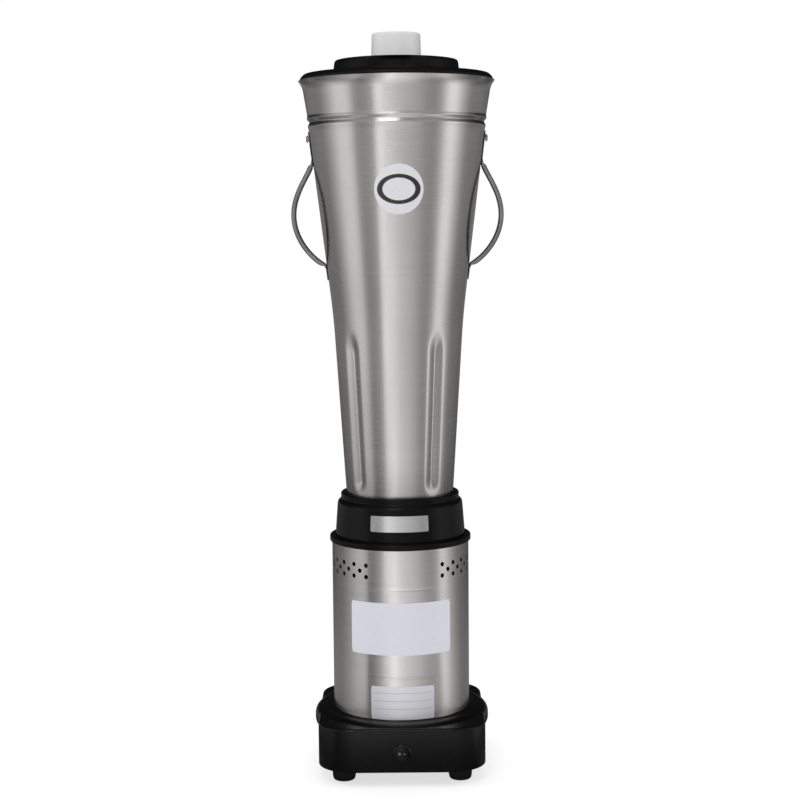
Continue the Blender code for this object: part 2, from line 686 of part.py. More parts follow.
def make_collar():
    """Moulding on top of the housing, with the cup that the jar stands in."""
    def level(height):
        return FLANGE_BOTTOM + height

    flange_top = level(FLANGE_HEIGHT)
    shoulder = level(COLLAR_SHOULDER_HEIGHT)
    cup_radius = SEAT_RING_RADIUS + SLIDE_GAP + CUP_CLEARANCE
    cup_outer = cup_radius + COLLAR_WALL
    skirt_inner = TUBE_RADIUS - TUBE_WALL - SEAT_GAP
    groove_outer = TUBE_RADIUS + SEAT_GAP
    profile = [(COLLAR_LIP_RADIUS - COLLAR_LIP_ROUND, COLLAR_TOP),
               (COLLAR_LIP_RADIUS - 0.3 * COLLAR_LIP_ROUND, COLLAR_TOP - 0.3 * COLLAR_LIP_ROUND),
               (COLLAR_LIP_RADIUS, COLLAR_TOP - COLLAR_LIP_ROUND),
               (COLLAR_LIP_RADIUS, shoulder + SHOULDER_ROUND + STEP_RISE),
               (COLLAR_SHOULDER_RADIUS - SHOULDER_CHAMFER, shoulder + SHOULDER_ROUND),
               (COLLAR_SHOULDER_RADIUS, shoulder),
               (COLLAR_CONE_RADIUS, flange_top + CONE_GROOVE_HEIGHT / 2),
               (COLLAR_CONE_RADIUS - CONE_GROOVE, flange_top - CONE_GROOVE_HEIGHT / 2)]
    profile += arc((FLANGE_RADIUS - FLANGE_ROUND, flange_top - FLANGE_ROUND), FLANGE_ROUND, 90, 0, 3)
    profile += arc((FLANGE_RADIUS - FLANGE_FOOT_ROUND, FLANGE_BOTTOM + FLANGE_FOOT_ROUND),
                   FLANGE_FOOT_ROUND, 0, -90, 2)
    profile += [(groove_outer, FLANGE_BOTTOM), (groove_outer, TUBE_TOP + SEAT_GAP),
                (skirt_inner, TUBE_TOP + SEAT_GAP), (skirt_inner, TUBE_TOP - COLLAR_SKIRT_DROP),
                (skirt_inner - COLLAR_WALL, TUBE_TOP - COLLAR_SKIRT_DROP),
                (skirt_inner - COLLAR_WALL, flange_top - FLANGE_ROUND),
                (COLLAR_SHOULDER_RADIUS - COLLAR_WALL, shoulder),
                (cup_outer, shoulder + COLLAR_WEB), (cup_outer, CUP_FLOOR - COLLAR_FLOOR),
                (COLLAR_HOLE_RADIUS, CUP_FLOOR - COLLAR_FLOOR), (COLLAR_HOLE_RADIUS, CUP_FLOOR),
                (cup_radius, CUP_FLOOR), (cup_radius, COLLAR_TOP - EDGE_BREAK),
                (cup_radius + EDGE_BREAK, COLLAR_TOP)]
    collar = turned("collar", profile, BLACK, 40)
    places = [around(POST_CIRCLE_RADIUS, CUP_FLOOR - COLLAR_FLOOR / 2, 90.0 + 120.0 * i)
              for i in range(3)]
    combine(collar, rods("collar_screw_holes", places, SCREW_RADIUS + SCREW_GAP,
                         3 * COLLAR_FLOOR, 8), 'DIFFERENCE')

    turned("seat_ring", ring_profile(SEAT_RING_RADIUS - SEAT_RING_WIDTH, SEAT_RING_RADIUS,
                                     CUP_FLOOR + SEAT_GAP,
                                     CUP_FLOOR + SEAT_GAP + SEAT_RING_HEIGHT), RUBBER, 28)
    bottom = BRACKET_TOP + SEAT_GAP
    top = CUP_FLOOR - COLLAR_FLOOR - SEAT_GAP
    bore = SCREW_RADIUS + SCREW_GAP
    for i in range(3):
        place = around(POST_CIRCLE_RADIUS, 0.0, 90.0 + 120.0 * i).to_translation()
        post = turned("collar_post_%d" % (i + 1),
                      ring_profile(bore, POST_SPACER_RADIUS, bottom, top), ALUMINIUM, 8)
        post.location = place
        head = Vector((place.x, place.y, CUP_FLOOR + SEAT_GAP))
        pan_screw("collar_screw_%d" % (i + 1), head, COLLAR_SCREW_LENGTH, DARK_STEEL, head_up=True)


# Motor

def make_brackets():
    """End brackets, each a plate with a bearing pocket and a skirt that clamps the stack."""
    skirt_outer = STACK_RADIUS
    skirt_inner = STACK_RADIUS - BRACKET_WALL
    pocket = BEARING_RADIUS + SEAT_GAP
    hub = pocket + BRACKET_WALL
    shaft_hole = MOTOR_SHAFT_RADIUS + SHAFT_HOLE_GAP
    plate_radius = TUBE_RADIUS - TUBE_WALL - SEAT_GAP
    lower_radius = plate_radius - SPIGOT_WALL - SEAT_GAP
    low = TUBE_BOTTOM
    pocket_floor = low + BEARING_SHELF
    pocket_top = pocket_floor + SEAT_GAP + BEARING_HEIGHT
    skirt_top = STACK_BOTTOM - SEAT_GAP
    lower = [(skirt_outer, skirt_top), (skirt_outer, low + BRACKET_PLATE),
             (lower_radius, low + BRACKET_PLATE), (lower_radius, low), (shaft_hole, low),
             (shaft_hole, pocket_floor), (pocket, pocket_floor), (pocket, pocket_top),
             (hub, pocket_top), (hub, low + BRACKET_PLATE), (skirt_inner, low + BRACKET_PLATE),
             (skirt_inner, skirt_top)]
    lower_bracket = turned("lower_bracket", lower, ALUMINIUM, 20)
    top = BRACKET_TOP
    skirt_foot = STACK_TOP + SEAT_GAP
    ceiling = top - BEARING_SHELF
    pocket_foot = ceiling - SEAT_GAP - BEARING_HEIGHT
    upper = [(plate_radius, top), (plate_radius, top - BRACKET_PLATE),
             (skirt_outer, top - BRACKET_PLATE), (skirt_outer, skirt_foot),
             (skirt_inner, skirt_foot), (skirt_inner, top - BRACKET_PLATE),
             (hub, top - BRACKET_PLATE), (hub, pocket_foot), (pocket, pocket_foot),
             (pocket, ceiling), (shaft_hole, ceiling), (shaft_hole, top)]
    upper_bracket = turned("upper_bracket", upper, ALUMINIUM, 20)
    post_holes = [around(POST_CIRCLE_RADIUS, top - BRACKET_PLATE / 2, 30.0 + 120.0 * i)
                  for i in range(3)]
    combine(upper_bracket, rods("air_holes", post_holes, AIR_HOLE_RADIUS, 3 * BRACKET_PLATE, 8),
            'DIFFERENCE')
    for bracket, height in ((lower_bracket, low + BRACKET_PLATE / 2),
                            (upper_bracket, top - BRACKET_PLATE / 2)):
        places = [around(TIE_BOLT_CIRCLE_RADIUS, height, 45.0 + 90.0 * i) for i in range(4)]
        combine(bracket, rods(bracket.name + "_bolt_holes", places,
                              TIE_BOLT_RADIUS + SCREW_GAP, 3 * BRACKET_PLATE, 8), 'DIFFERENCE')
    race = MOTOR_SHAFT_RADIUS + SEAT_GAP
    turned("lower_bearing", ring_profile(race, BEARING_RADIUS, pocket_floor + SEAT_GAP,
                                         pocket_top, EDGE_BREAK), DARK_STEEL, 14)
    turned("upper_bearing", ring_profile(race, BEARING_RADIUS, pocket_foot,
                                         ceiling - SEAT_GAP, EDGE_BREAK), DARK_STEEL, 14)
    for i in range(4):
        place = around(TIE_BOLT_CIRCLE_RADIUS, 0.0, 45.0 + 90.0 * i).to_translation()
        head = BRACKET_TOP + SEAT_GAP
        crown = head + TIE_BOLT_HEAD_HEIGHT
        profile = [(0.0, crown), (TIE_BOLT_HEAD_RADIUS - EDGE_BREAK, crown),
                   (TIE_BOLT_HEAD_RADIUS, crown - EDGE_BREAK), (TIE_BOLT_HEAD_RADIUS, head),
                   (TIE_BOLT_RADIUS, head), (TIE_BOLT_RADIUS, TUBE_BOTTOM), (0.0, TUBE_BOTTOM)]
        bolt = turned("tie_bolt_%d" % (i + 1), profile, DARK_STEEL, 8, closed=False)
        bolt.location = place


def make_stator():
    """Laminated stack and the winding heads above and below it."""
    turned("stator", ring_profile(STACK_BORE_RADIUS, STACK_RADIUS, STACK_BOTTOM, STACK_TOP),
           IRON, 20)
    for name, bottom in (("lower_winding", STACK_BOTTOM - SEAT_GAP - WINDING_HEIGHT),
                         ("upper_winding", STACK_TOP + SEAT_GAP)):
        turned(name, ring_profile(WINDING_INNER_RADIUS, WINDING_OUTER_RADIUS, bottom,
                                  bottom + WINDING_HEIGHT, WINDING_ROUND), COPPER, 16)


def make_rotor(unit):
    """Rotor, shaft and cooling fan."""
    middle = (STACK_BOTTOM + STACK_TOP) / 2
    bore = MOTOR_SHAFT_RADIUS + SEAT_GAP
    turned("rotor", ring_profile(bore, STACK_BORE_RADIUS - TURN_GAP, middle - ROTOR_HEIGHT / 2,
                                 middle + ROTOR_HEIGHT / 2), IRON, 16, parent=unit)
    shaft_bottom = TUBE_BOTTOM + SHAFT_END_GAP
    shaft_top = DRIVE_PLATE_TOP - SHAFT_SUNK
    profile = [(0.0, shaft_top), (MOTOR_SHAFT_RADIUS - EDGE_BREAK, shaft_top),
               (MOTOR_SHAFT_RADIUS, shaft_top - EDGE_BREAK), (MOTOR_SHAFT_RADIUS, shaft_bottom),
               (0.0, shaft_bottom)]
    turned("motor_shaft", profile, STEEL, 12, closed=False, parent=unit)
    pocket_foot = BRACKET_TOP - BEARING_SHELF - SEAT_GAP - BEARING_HEIGHT
    fan_bottom = pocket_foot - FAN_GAP - FAN_HEIGHT
    hub = [(FAN_HUB_RADIUS, fan_bottom + FAN_HEIGHT), (FAN_HUB_RADIUS, fan_bottom + FAN_PLATE),
           (FAN_RADIUS, fan_bottom + FAN_PLATE), (FAN_RADIUS, fan_bottom), (bore, fan_bottom),
           (bore, fan_bottom + FAN_HEIGHT)]
    fan = turned("fan", hub, NYLON, 16, parent=unit)
    blade_radius = (FAN_HUB_RADIUS + FAN_RADIUS) / 2
    blade_length = FAN_RADIUS - FAN_HUB_RADIUS
    height = FAN_HEIGHT - FAN_PLATE / 2 - FAN_BLADE_INSET
    places = [around(blade_radius - FAN_BLADE_INSET, fan_bottom + FAN_PLATE / 2 + height / 2,
                     360.0 * i / FAN_BLADES) for i in range(FAN_BLADES)]
    combine(fan, boxes("fan_blades", places, (blade_length, FAN_BLADE_THICKNESS, height)), 'UNION')


# Couplings

def lug_ring(name, bottom, top, first_angle):
    """A tool shape of the coupling's lugs: sectors of a ring."""
    shape = bmesh.new()
    for i in range(COUPLING_LUGS):
        middle = first_angle + 360.0 * i / COUPLING_LUGS
        start = middle - COUPLING_LUG_ANGLE / 2
        end = middle + COUPLING_LUG_ANGLE / 2
        outline = arc((0.0, 0.0), COUPLING_RADIUS - EDGE_BREAK, start, end, 2)
        outline += arc((0.0, 0.0), COUPLING_LUG_INNER_RADIUS, end, start, 1)
        face = shape.faces.new([shape.verts.new((x, y, bottom)) for x, y in outline])
        grown = bmesh.ops.extrude_face_region(shape, geom=[face])
        top_verts = [v for v in grown["geom"] if isinstance(v, bmesh.types.BMVert)]
        bmesh.ops.translate(shape, vec=(0.0, 0.0, top - bottom), verts=top_verts)
    bmesh.ops.recalc_face_normals(shape, faces=shape.faces)
    mesh = bpy.data.meshes.new(name)
    shape.to_mesh(mesh)
    shape.free()
    return add_cutter(name, mesh)


def make_couplings(rotor_unit, blade_unit):
    """Drive coupling on the motor and driven coupling on the blade shaft, lugs interleaved."""
    pitch = 360.0 / COUPLING_LUGS
    bore = MOTOR_SHAFT_RADIUS + SEAT_GAP
    plate_bottom = DRIVE_PLATE_TOP - COUPLING_PLATE
    drive = turned("drive_coupling", [
        (COUPLING_RADIUS - EDGE_BREAK, DRIVE_PLATE_TOP),
        (COUPLING_RADIUS, DRIVE_PLATE_TOP - EDGE_BREAK),
        (COUPLING_RADIUS, plate_bottom), (COUPLING_HUB_RADIUS, plate_bottom),
        (COUPLING_HUB_RADIUS, DRIVE_BOTTOM), (bore, DRIVE_BOTTOM), (bore, DRIVE_PLATE_TOP)],
        NYLON, 24, parent=rotor_unit)
    lug_top = DRIVEN_PLATE_BOTTOM - COUPLING_END_GAP
    combine(drive, lug_ring("drive_lugs", DRIVE_PLATE_TOP - LUG_ROOT, lug_top, 0.0), 'UNION')
    bore = BLADE_SHAFT_RADIUS + SEAT_GAP
    driven = turned("driven_coupling", [
        (COUPLING_RADIUS, DRIVEN_TOP), (COUPLING_RADIUS, DRIVEN_PLATE_BOTTOM + EDGE_BREAK),
        (COUPLING_RADIUS - EDGE_BREAK, DRIVEN_PLATE_BOTTOM),
        (COUPLING_HUB_RADIUS, DRIVEN_PLATE_BOTTOM),
        (COUPLING_HUB_RADIUS, LUG_BOTTOM + DRIVEN_HUB_INSET),
        (bore, LUG_BOTTOM + DRIVEN_HUB_INSET), (bore, DRIVEN_TOP)], NYLON, 24, parent=blade_unit)
    combine(driven, lug_ring("driven_lugs", LUG_BOTTOM, DRIVEN_PLATE_BOTTOM + LUG_ROOT, pitch / 2),
            'UNION')


# Jar

def jar_outline():
    """Outside of the jar as (radius, height) points, from the rim down to the floor's hole."""
    mouth = RIM_TOP - RIM_FLARE
    band_foot = RIM_TOP - BAND_HEIGHT
    groove = band_foot - GROOVE_DROP
    bead = groove - BEAD_DROP
    knee = JAR_BOTTOM + KNEE_HEIGHT
    points = [(RIM_RADIUS, RIM_TOP), (RIM_RADIUS - 0.6 * MOUTH_INSET, RIM_TOP - RIM_STEP * RIM_FLARE),
              (MOUTH_RADIUS, mouth), (BAND_FOOT_RADIUS, band_foot),
              (BAND_FOOT_RADIUS - GROOVE_INSET, groove),
              (BEAD_RADIUS, bead)]
    slope = (BEAD_RADIUS - KNEE_RADIUS) / (bead - knee)
    foot = JAR_BOTTOM + JAR_FOOT_ROUND
    lower_slope = (KNEE_RADIUS - JAR_FOOT_RADIUS) / (knee - foot)
    points += [(KNEE_RADIUS + slope * KNEE_ROUND, knee + KNEE_ROUND),
               (KNEE_RADIUS + 0.12 * (slope - lower_slope) * KNEE_ROUND, knee)]
    heights = (FLUTE_TOP_HEIGHT, FLUTE_TOP_HEIGHT - 0.35 * FLUTE_TOP_FADE,
               FLUTE_TOP_HEIGHT - 0.65 * FLUTE_TOP_FADE, FLUTE_TOP_HEIGHT - FLUTE_TOP_FADE,
               FLUTE_FOOT_HEIGHT + FLUTE_FOOT_FADE, FLUTE_FOOT_HEIGHT + 0.5 * FLUTE_FOOT_FADE,
               FLUTE_FOOT_HEIGHT)
    for height in heights:
        level = JAR_BOTTOM + height
        points.append((KNEE_RADIUS - lower_slope * (knee - level), level))
    points += arc((JAR_FOOT_RADIUS - JAR_FOOT_ROUND, foot), JAR_FOOT_ROUND, 0, -90, 2)
    points.append((NECK_RADIUS + SEAT_GAP, JAR_BOTTOM))
    return points


def jar_radius(level):
    """Outer radius of the jar at a level."""
    points = jar_outline()
    for (upper_radius, upper), (lower_radius, lower) in zip(points, points[1:]):
        if upper >= level >= lower and upper > lower:
            share = (level - lower) / (upper - lower)
            return lower_radius + share * (upper_radius - lower_radius)
    return RIM_RADIUS


def flute_press(angle, level, radius):
    """How far a flute pushes the wall inwards."""
    height = level - JAR_BOTTOM
    along = smooth_step((height - FLUTE_FOOT_HEIGHT) / FLUTE_FOOT_FADE)
    along *= smooth_step((FLUTE_TOP_HEIGHT - height) / FLUTE_TOP_FADE)
    pitch = math.tau / FLUTE_COUNT
    offset = (angle - flute_angle() + pitch / 2) % pitch - pitch / 2
    across = abs(offset) * radius / (FLUTE_WIDTH / 2)
    if across >= 1.0:
        return 0.0
    return FLUTE_DEPTH * along * 0.5 * (1.0 + math.cos(math.pi * across))


def flute_angle():
    """Angle of the first flute about the Z axis."""
    return math.radians(FLUTE_TURN - 90.0 + 180.0 / FLUTE_COUNT)


def make_jar(unit):
    """Thin shell turned from its outline, with the flutes pressed in before it gets its wall."""
    jar = turn(add_part("jar", profile_mesh("jar", jar_outline(), False), STEEL, unit),
               JAR_COLUMNS)
    mesh = settle(jar)
    knee = JAR_BOTTOM + KNEE_HEIGHT
    for vertex in mesh.vertices:
        x, y, level = vertex.co
        radius = math.hypot(x, y)
        angle = math.atan2(y, x)
        lean = COLUMN_SQUEEZE * smooth_step((RIM_TOP - level) / (RIM_TOP - knee))
        angle -= lean * math.sin(FLUTE_COUNT * (angle - flute_angle()))
        radius -= flute_press(angle, level, radius)
        vertex.co = (radius * math.cos(angle), radius * math.sin(angle), level)
    shade_round(mesh)
    wall = jar.modifiers.new("Wall", 'SOLIDIFY')
    wall.thickness = JAR_WALL
    wall.offset = -1.0
    wall.use_even_offset = True
    level = rivet_level()
    places = []
    for side in (-1, 1):
        middle = Matrix.Translation((side * jar_radius(level), 0.0, level))
        places.append(middle @ Matrix.Rotation(math.pi / 2, 4, 'Y'))
    combine(jar, rods("jar_rivet_holes", places, RIVET_RADIUS + SCREW_GAP,
                      RIVET_HOLE_LENGTH, 8), 'DIFFERENCE')


def rivet_level():
    """Height of the handle rivets."""
    return RIM_TOP - HANDLE_TOP_DROP + UPPER_TAB_LENGTH - RIVET_DROP


def handle_stations():
    """Centre line of the handle with its half thickness and half width, top to bottom."""
    top = RIM_TOP - HANDLE_TOP_DROP
    grip = RIM_TOP - HANDLE_GRIP_DROP
    foot = RIM_TOP - HANDLE_FOOT_DROP
    half_tab = TAB_THICKNESS / 2
    half = HANDLE_THICKNESS / 2
    half_width = HANDLE_WIDTH / 2

    def on_wall(level, thickness, width):
        return (jar_radius(level) + SEAT_GAP + thickness + TAB_EASE, level, thickness, width)

    stations = [on_wall(top + UPPER_TAB_LENGTH, half_tab, 0.45 * half_width),
                on_wall(top + UPPER_TAB_LENGTH - 0.4 * TAB_END, half_tab, 0.85 * half_width),
                on_wall(top + UPPER_TAB_LENGTH - TAB_END, half_tab, half_width),
                on_wall(top + TAB_RUN, half_tab, half_width)]
    start = jar_radius(top) + SEAT_GAP + half
    end = jar_radius(foot) + SEAT_GAP + half
    # The bow leaves each joint at a slant and is fullest at the grip's height.
    upper_arcs = 5
    lower_arcs = 4
    for i in range(-upper_arcs, lower_arcs + 1):
        angle = math.pi / 2 * (i / upper_arcs if i < 0 else i / lower_arcs)
        level = grip - math.sin(angle) * (top - grip if i < 0 else grip - foot)
        ease = HANDLE_TOP_EASE if i < 0 else HANDLE_FOOT_EASE
        base_line = start + (end - start) * (top - level) / (top - foot)
        thickness = half * (0.80 if i in (-upper_arcs, lower_arcs) else 1.0)
        reach = HANDLE_BOW * abs(math.cos(angle)) ** ease
        stations.append((base_line + reach, level, thickness, half_width))
    stations += [on_wall(foot - TAB_RUN, half_tab, half_width),
                 on_wall(foot - LOWER_TAB_LENGTH + 0.5 * TAB_END, half_tab, half_width),
                 on_wall(foot - LOWER_TAB_LENGTH, half_tab, 0.6 * half_width)]
    return stations


def skin(shape, sections):
    """Skin a row of closed sections that all have as many points, ends closed."""
    rings = [[shape.verts.new(point) for point in section] for section in sections]
    count = len(rings[0])
    for near, far in zip(rings, rings[1:]):
        for i in range(count):
            j = (i + 1) % count
            shape.faces.new((near[i], near[j], far[j], far[i]))
    shape.faces.new(rings[0])
    shape.faces.new(rings[-1])


def loft(name, sections):
    """A mesh skinned over one row of sections."""
    shape = bmesh.new()
    skin(shape, sections)
    bmesh.ops.recalc_face_normals(shape, faces=shape.faces)
    mesh = bpy.data.meshes.new(name)
    shape.to_mesh(mesh)
    shape.free()
    return mesh


def make_handles(unit):
    """Strap handles with tabs that lie on the jar, and the rivets through the upper tabs."""
    stations = handle_stations()
    level = rivet_level()
    for name, side in (("left", -1), ("right", 1)):
        sections = []
        for i, (x, z, thickness, width) in enumerate(stations):
            before = stations[max(0, i - 1)]
            after = stations[min(len(stations) - 1, i + 1)]
            along = Vector((after[0] - before[0], 0.0, after[1] - before[1])).normalized()
            out = Vector((-along.z, 0.0, along.x))
            section = []
            for corner in range(8):
                angle = math.tau * (corner + 0.5) / 8
                across = math.copysign(abs(math.cos(angle)) ** 0.75, math.cos(angle)) * width
                thick = math.copysign(abs(math.sin(angle)) ** 0.75, math.sin(angle)) * thickness
                point = Vector((x, across, z)) + out * thick
                section.append((side * point.x, point.y, point.z))
            sections.append(section)
        mesh = loft(name + "_handle", sections)
        handle = add_part(name + "_handle", mesh, DARK_STEEL, unit)
        shade_round(mesh, 50.0)
        wall = jar_radius(level)
        hole = Matrix.Translation((side * wall, 0.0, level)) @ Matrix.Rotation(
            math.pi / 2, 4, 'Y')
        combine(handle, rods(name + "_handle_hole", [hole], RIVET_RADIUS + SCREW_GAP,
                             RIVET_HOLE_LENGTH, 8), 'DIFFERENCE')
        outer = SEAT_GAP + TAB_THICKNESS + RIVET_SEAT
        inner = -JAR_WALL - RIVET_INNER_GAP
        profile = [(0.0, outer + RIVET_HEAD_HEIGHT),
                   (0.55 * RIVET_HEAD_RADIUS, outer + 0.88 * RIVET_HEAD_HEIGHT),
                   (RIVET_HEAD_RADIUS, outer + 0.4 * RIVET_HEAD_HEIGHT),
                   (RIVET_HEAD_RADIUS, outer), (RIVET_RADIUS, outer), (RIVET_RADIUS, inner),
                   (RIVET_HEAD_RADIUS, inner), (RIVET_HEAD_RADIUS, inner - RIVET_FOOT_HEIGHT),
                   (0.0, inner - 2 * RIVET_FOOT_HEIGHT)]
        rivet = turned(name + "_handle_rivet", profile, DARK_STEEL, 10, closed=False, parent=unit)
        rivet.location = (side * wall, 0.0, level)
        rivet.rotation_euler = (0.0, side * math.pi / 2, 0.0)


def make_jar_bearing(unit):
    """Housing clamped through the jar's floor, with its bushes and shaft seal."""
    under = JAR_BOTTOM - SEAT_GAP
    flange_bottom = under - HOUSING_FLANGE_THICKNESS
    turned("bearing_housing", [
        (NECK_RADIUS - EDGE_BREAK, NECK_TOP), (NECK_RADIUS, NECK_TOP - EDGE_BREAK),
        (NECK_RADIUS, under), (HOUSING_FLANGE_RADIUS, under),
        (HOUSING_FLANGE_RADIUS, flange_bottom),
        (HOUSING_BARREL_RADIUS, flange_bottom - HOUSING_FLANGE_BACK),
        (HOUSING_BARREL_RADIUS, HOUSING_BOTTOM), (HOUSING_BORE_RADIUS, HOUSING_BOTTOM),
        (HOUSING_BORE_RADIUS, NECK_TOP)], ALUMINIUM, 20, parent=unit)
    floor = JAR_BOTTOM + JAR_WALL + SEAT_GAP
    turned("bearing_ring_nut", ring_profile(NECK_RADIUS + SEAT_GAP, RING_NUT_RADIUS, floor,
                                            floor + RING_NUT_HEIGHT, RING_NUT_CHAMFER), STEEL, 20,
           parent=unit)
    outer = HOUSING_BORE_RADIUS - SEAT_GAP
    inner = BLADE_SHAFT_RADIUS + SEAT_GAP
    seal_bottom = NECK_TOP - SEAL_HEIGHT - SEAT_GAP
    upper_bush = seal_bottom - SEAT_GAP - BUSH_HEIGHT
    turned("shaft_seal", ring_profile(inner, outer, seal_bottom, seal_bottom + SEAL_HEIGHT),
           RUBBER, 12, parent=unit)
    turned("upper_bush", ring_profile(inner, outer, upper_bush, upper_bush + BUSH_HEIGHT),
           BRONZE, 12, parent=unit)
    turned("lower_bush", ring_profile(inner, outer, HOUSING_BOTTOM, HOUSING_BOTTOM + BUSH_HEIGHT),
           BRONZE, 12, parent=unit)


def make_blade(unit):
    """Blade with four wings, its shaft and the cap nut that holds it."""
    stud_top = BLADE_SEAT + BLADE_STUD_LENGTH
    turned("blade_shaft", [
        (0.0, stud_top), (BLADE_STUD_RADIUS, stud_top), (BLADE_STUD_RADIUS, BLADE_SEAT),
        (BLADE_SHAFT_RADIUS, BLADE_SEAT), (BLADE_SHAFT_RADIUS, LUG_BOTTOM + BLADE_SHAFT_INSET),
        (0.0, LUG_BOTTOM + BLADE_SHAFT_INSET)], STEEL, 12, closed=False, parent=unit)
    bottom = BLADE_SEAT + SEAT_GAP
    top = bottom + BLADE_THICKNESS
    bore = BLADE_STUD_RADIUS + SEAT_GAP
    blade = turned("blade", ring_profile(bore, BLADE_HUB_RADIUS, bottom, top), STEEL, 16,
                   parent=unit)
    shape = bmesh.new()
    root = 0.75 * BLADE_HUB_RADIUS
    for wing in range(4):
        bend = BLADE_UP_BEND if wing % 2 == 0 else -BLADE_DOWN_BEND
        rise = math.tan(math.radians(bend))
        turn_matrix = Matrix.Rotation(math.radians(90.0 * wing), 3, 'Z')
        sections = []
        for reach in (root, BLADE_BEND_RADIUS, (BLADE_BEND_RADIUS + BLADE_REACH) / 2, BLADE_REACH):
            share = (reach - root) / (BLADE_REACH - root)
            width = BLADE_WIDTH + (BLADE_TIP_WIDTH - BLADE_WIDTH) * share
            level = (bottom + top) / 2 + max(0.0, reach - BLADE_BEND_RADIUS) * rise
            back = -width / 2 - BLADE_SWEEP * share
            thick = 0.42 * BLADE_THICKNESS
            edge = 0.4 * thick
            outline = [(back, -thick), (back + 0.65 * width, -thick), (back + width, -edge),
                       (back + width, edge), (back + 0.65 * width, thick), (back, thick)]
            sections.append([turn_matrix @ Vector((reach, y, level + z)) for y, z in outline])
        skin(shape, sections)
    bmesh.ops.recalc_face_normals(shape, faces=shape.faces)
    mesh = bpy.data.meshes.new("blade_wings")
    shape.to_mesh(mesh)
    shape.free()
    combine(blade, add_cutter("blade_wings", mesh), 'UNION')
    stud_hole = Matrix.Translation((0.0, 0.0, (bottom + top) / 2))
    combine(blade, rods("blade_hole", [stud_hole], bore, 8 * BLADE_THICKNESS, 12), 'DIFFERENCE')
    nut_bottom = top + SEAT_GAP
    nut_top = nut_bottom + BLADE_NUT_HEIGHT
    turned("blade_nut", [
        (0.0, nut_top), (0.45 * BLADE_NUT_RADIUS, nut_top - 0.2 * BLADE_NUT_DOME),
        (0.78 * BLADE_NUT_RADIUS, nut_top - BLADE_NUT_DOME),
        (0.88 * BLADE_NUT_RADIUS, nut_bottom + 1.1 * BLADE_NUT_FLANGE),
        (BLADE_NUT_RADIUS, nut_bottom + BLADE_NUT_FLANGE), (BLADE_NUT_RADIUS, nut_bottom),
        (bore, nut_bottom), (bore, stud_top + SEAT_GAP), (0.0, stud_top + SEAT_GAP)],
        STEEL, 12, closed=False, parent=unit)


# Lid and cap

def scallop_press(angle, radius):
    """How far a finger scallop pushes the crown's side inwards."""
    if not CROWN_RADIUS - 2 * LID_WALL < radius < CROWN_RADIUS + LID_WALL / 2:
        return 0.0
    pitch = math.tau / SCALLOP_COUNT
    offset = (angle + math.pi / 2 + pitch / 2) % pitch - pitch / 2
    share = abs(offset) / math.radians(SCALLOP_ANGLE / 2)
    if share >= 1.0:
        return 0.0
    return SCALLOP_DEPTH * (1.0 - share ** 3) ** 0.8


def make_lid(unit):
    """Lid with a plug that fits the jar's mouth, and a crown with finger scallops."""
    def mouth(depth, gap):
        level = RIM_TOP - depth
        return (jar_radius(level) - JAR_WALL * 1.25 - gap, level)

    crown_foot = LID_TOP + CROWN_FOOT
    plug_foot = RIM_TOP - LID_PLUG_DEPTH
    inside = jar_radius(plug_foot) - JAR_WALL * 1.25 - PLUG_GAP
    under = LID_TOP - LID_WALL
    profile = [(LID_HOLE_RADIUS, CROWN_TOP), (CROWN_RADIUS - CROWN_ROUND, CROWN_TOP),
               (CROWN_RADIUS - 0.3 * CROWN_ROUND, CROWN_TOP - 0.3 * CROWN_ROUND),
               (CROWN_RADIUS, CROWN_TOP - CROWN_ROUND), (CROWN_RADIUS, crown_foot),
               (CROWN_RADIUS + CROWN_FOOT_SPREAD, LID_TOP),
               (LID_FLANGE_RADIUS - LID_EDGE_SLOPE, LID_TOP),
               (LID_FLANGE_RADIUS, LID_TOP - LID_EDGE),
               (LID_FLANGE_RADIUS - SEAT_GAP, RIM_TOP + SEAT_GAP),
               mouth(RIM_STEP * RIM_FLARE, SEAT_GAP), mouth(RIM_FLARE, SEAT_GAP),
               (inside, plug_foot),
               (inside - LID_WALL, plug_foot), (inside - LID_WALL, under),
               (CROWN_RADIUS - LID_WALL, under), (CROWN_RADIUS - LID_WALL, CROWN_TOP - LID_WALL),
               (LID_HOLE_RADIUS + LID_WALL, CROWN_TOP - LID_WALL),
               (LID_HOLE_RADIUS + LID_WALL, CROWN_TOP - LID_SLEEVE_DEPTH),
               (LID_HOLE_RADIUS, CROWN_TOP - LID_SLEEVE_DEPTH)]
    lid = turned("lid", profile, RUBBER, JAR_COLUMNS, parent=unit)
    mesh = settle(lid)
    for vertex in mesh.vertices:
        x, y, level = vertex.co
        radius = math.hypot(x, y)
        angle = math.atan2(y, x)
        radius -= scallop_press(angle, radius)
        vertex.co = (radius * math.cos(angle), radius * math.sin(angle), level)
    shade_round(mesh)


def make_cap(unit):
    """White cap: a hollow plug, open below, whose shoulder rests on the crown."""
    foot = CROWN_TOP + SEAT_GAP
    top = foot + CAP_HEIGHT
    sleeve = LID_HOLE_RADIUS - SLIDE_GAP
    sleeve_foot = foot - CAP_SLEEVE_DEPTH
    profile = [(0.0, top)]
    profile += arc((CAP_RADIUS - CAP_ROUND, top - CAP_ROUND), CAP_ROUND, 90, 0, 3)
    profile += [(CAP_FOOT_RADIUS, foot + EDGE_BREAK), (CAP_FOOT_RADIUS, foot), (sleeve, foot),
                (sleeve - CAP_SLEEVE_TAPER, sleeve_foot), (sleeve - CAP_WALL, sleeve_foot),
                (sleeve - CAP_WALL, top - 2 * CAP_WALL), (0.0, top - CAP_WALL)]
    turned("lid_cap", profile, WHITE, 28, closed=False, parent=unit)


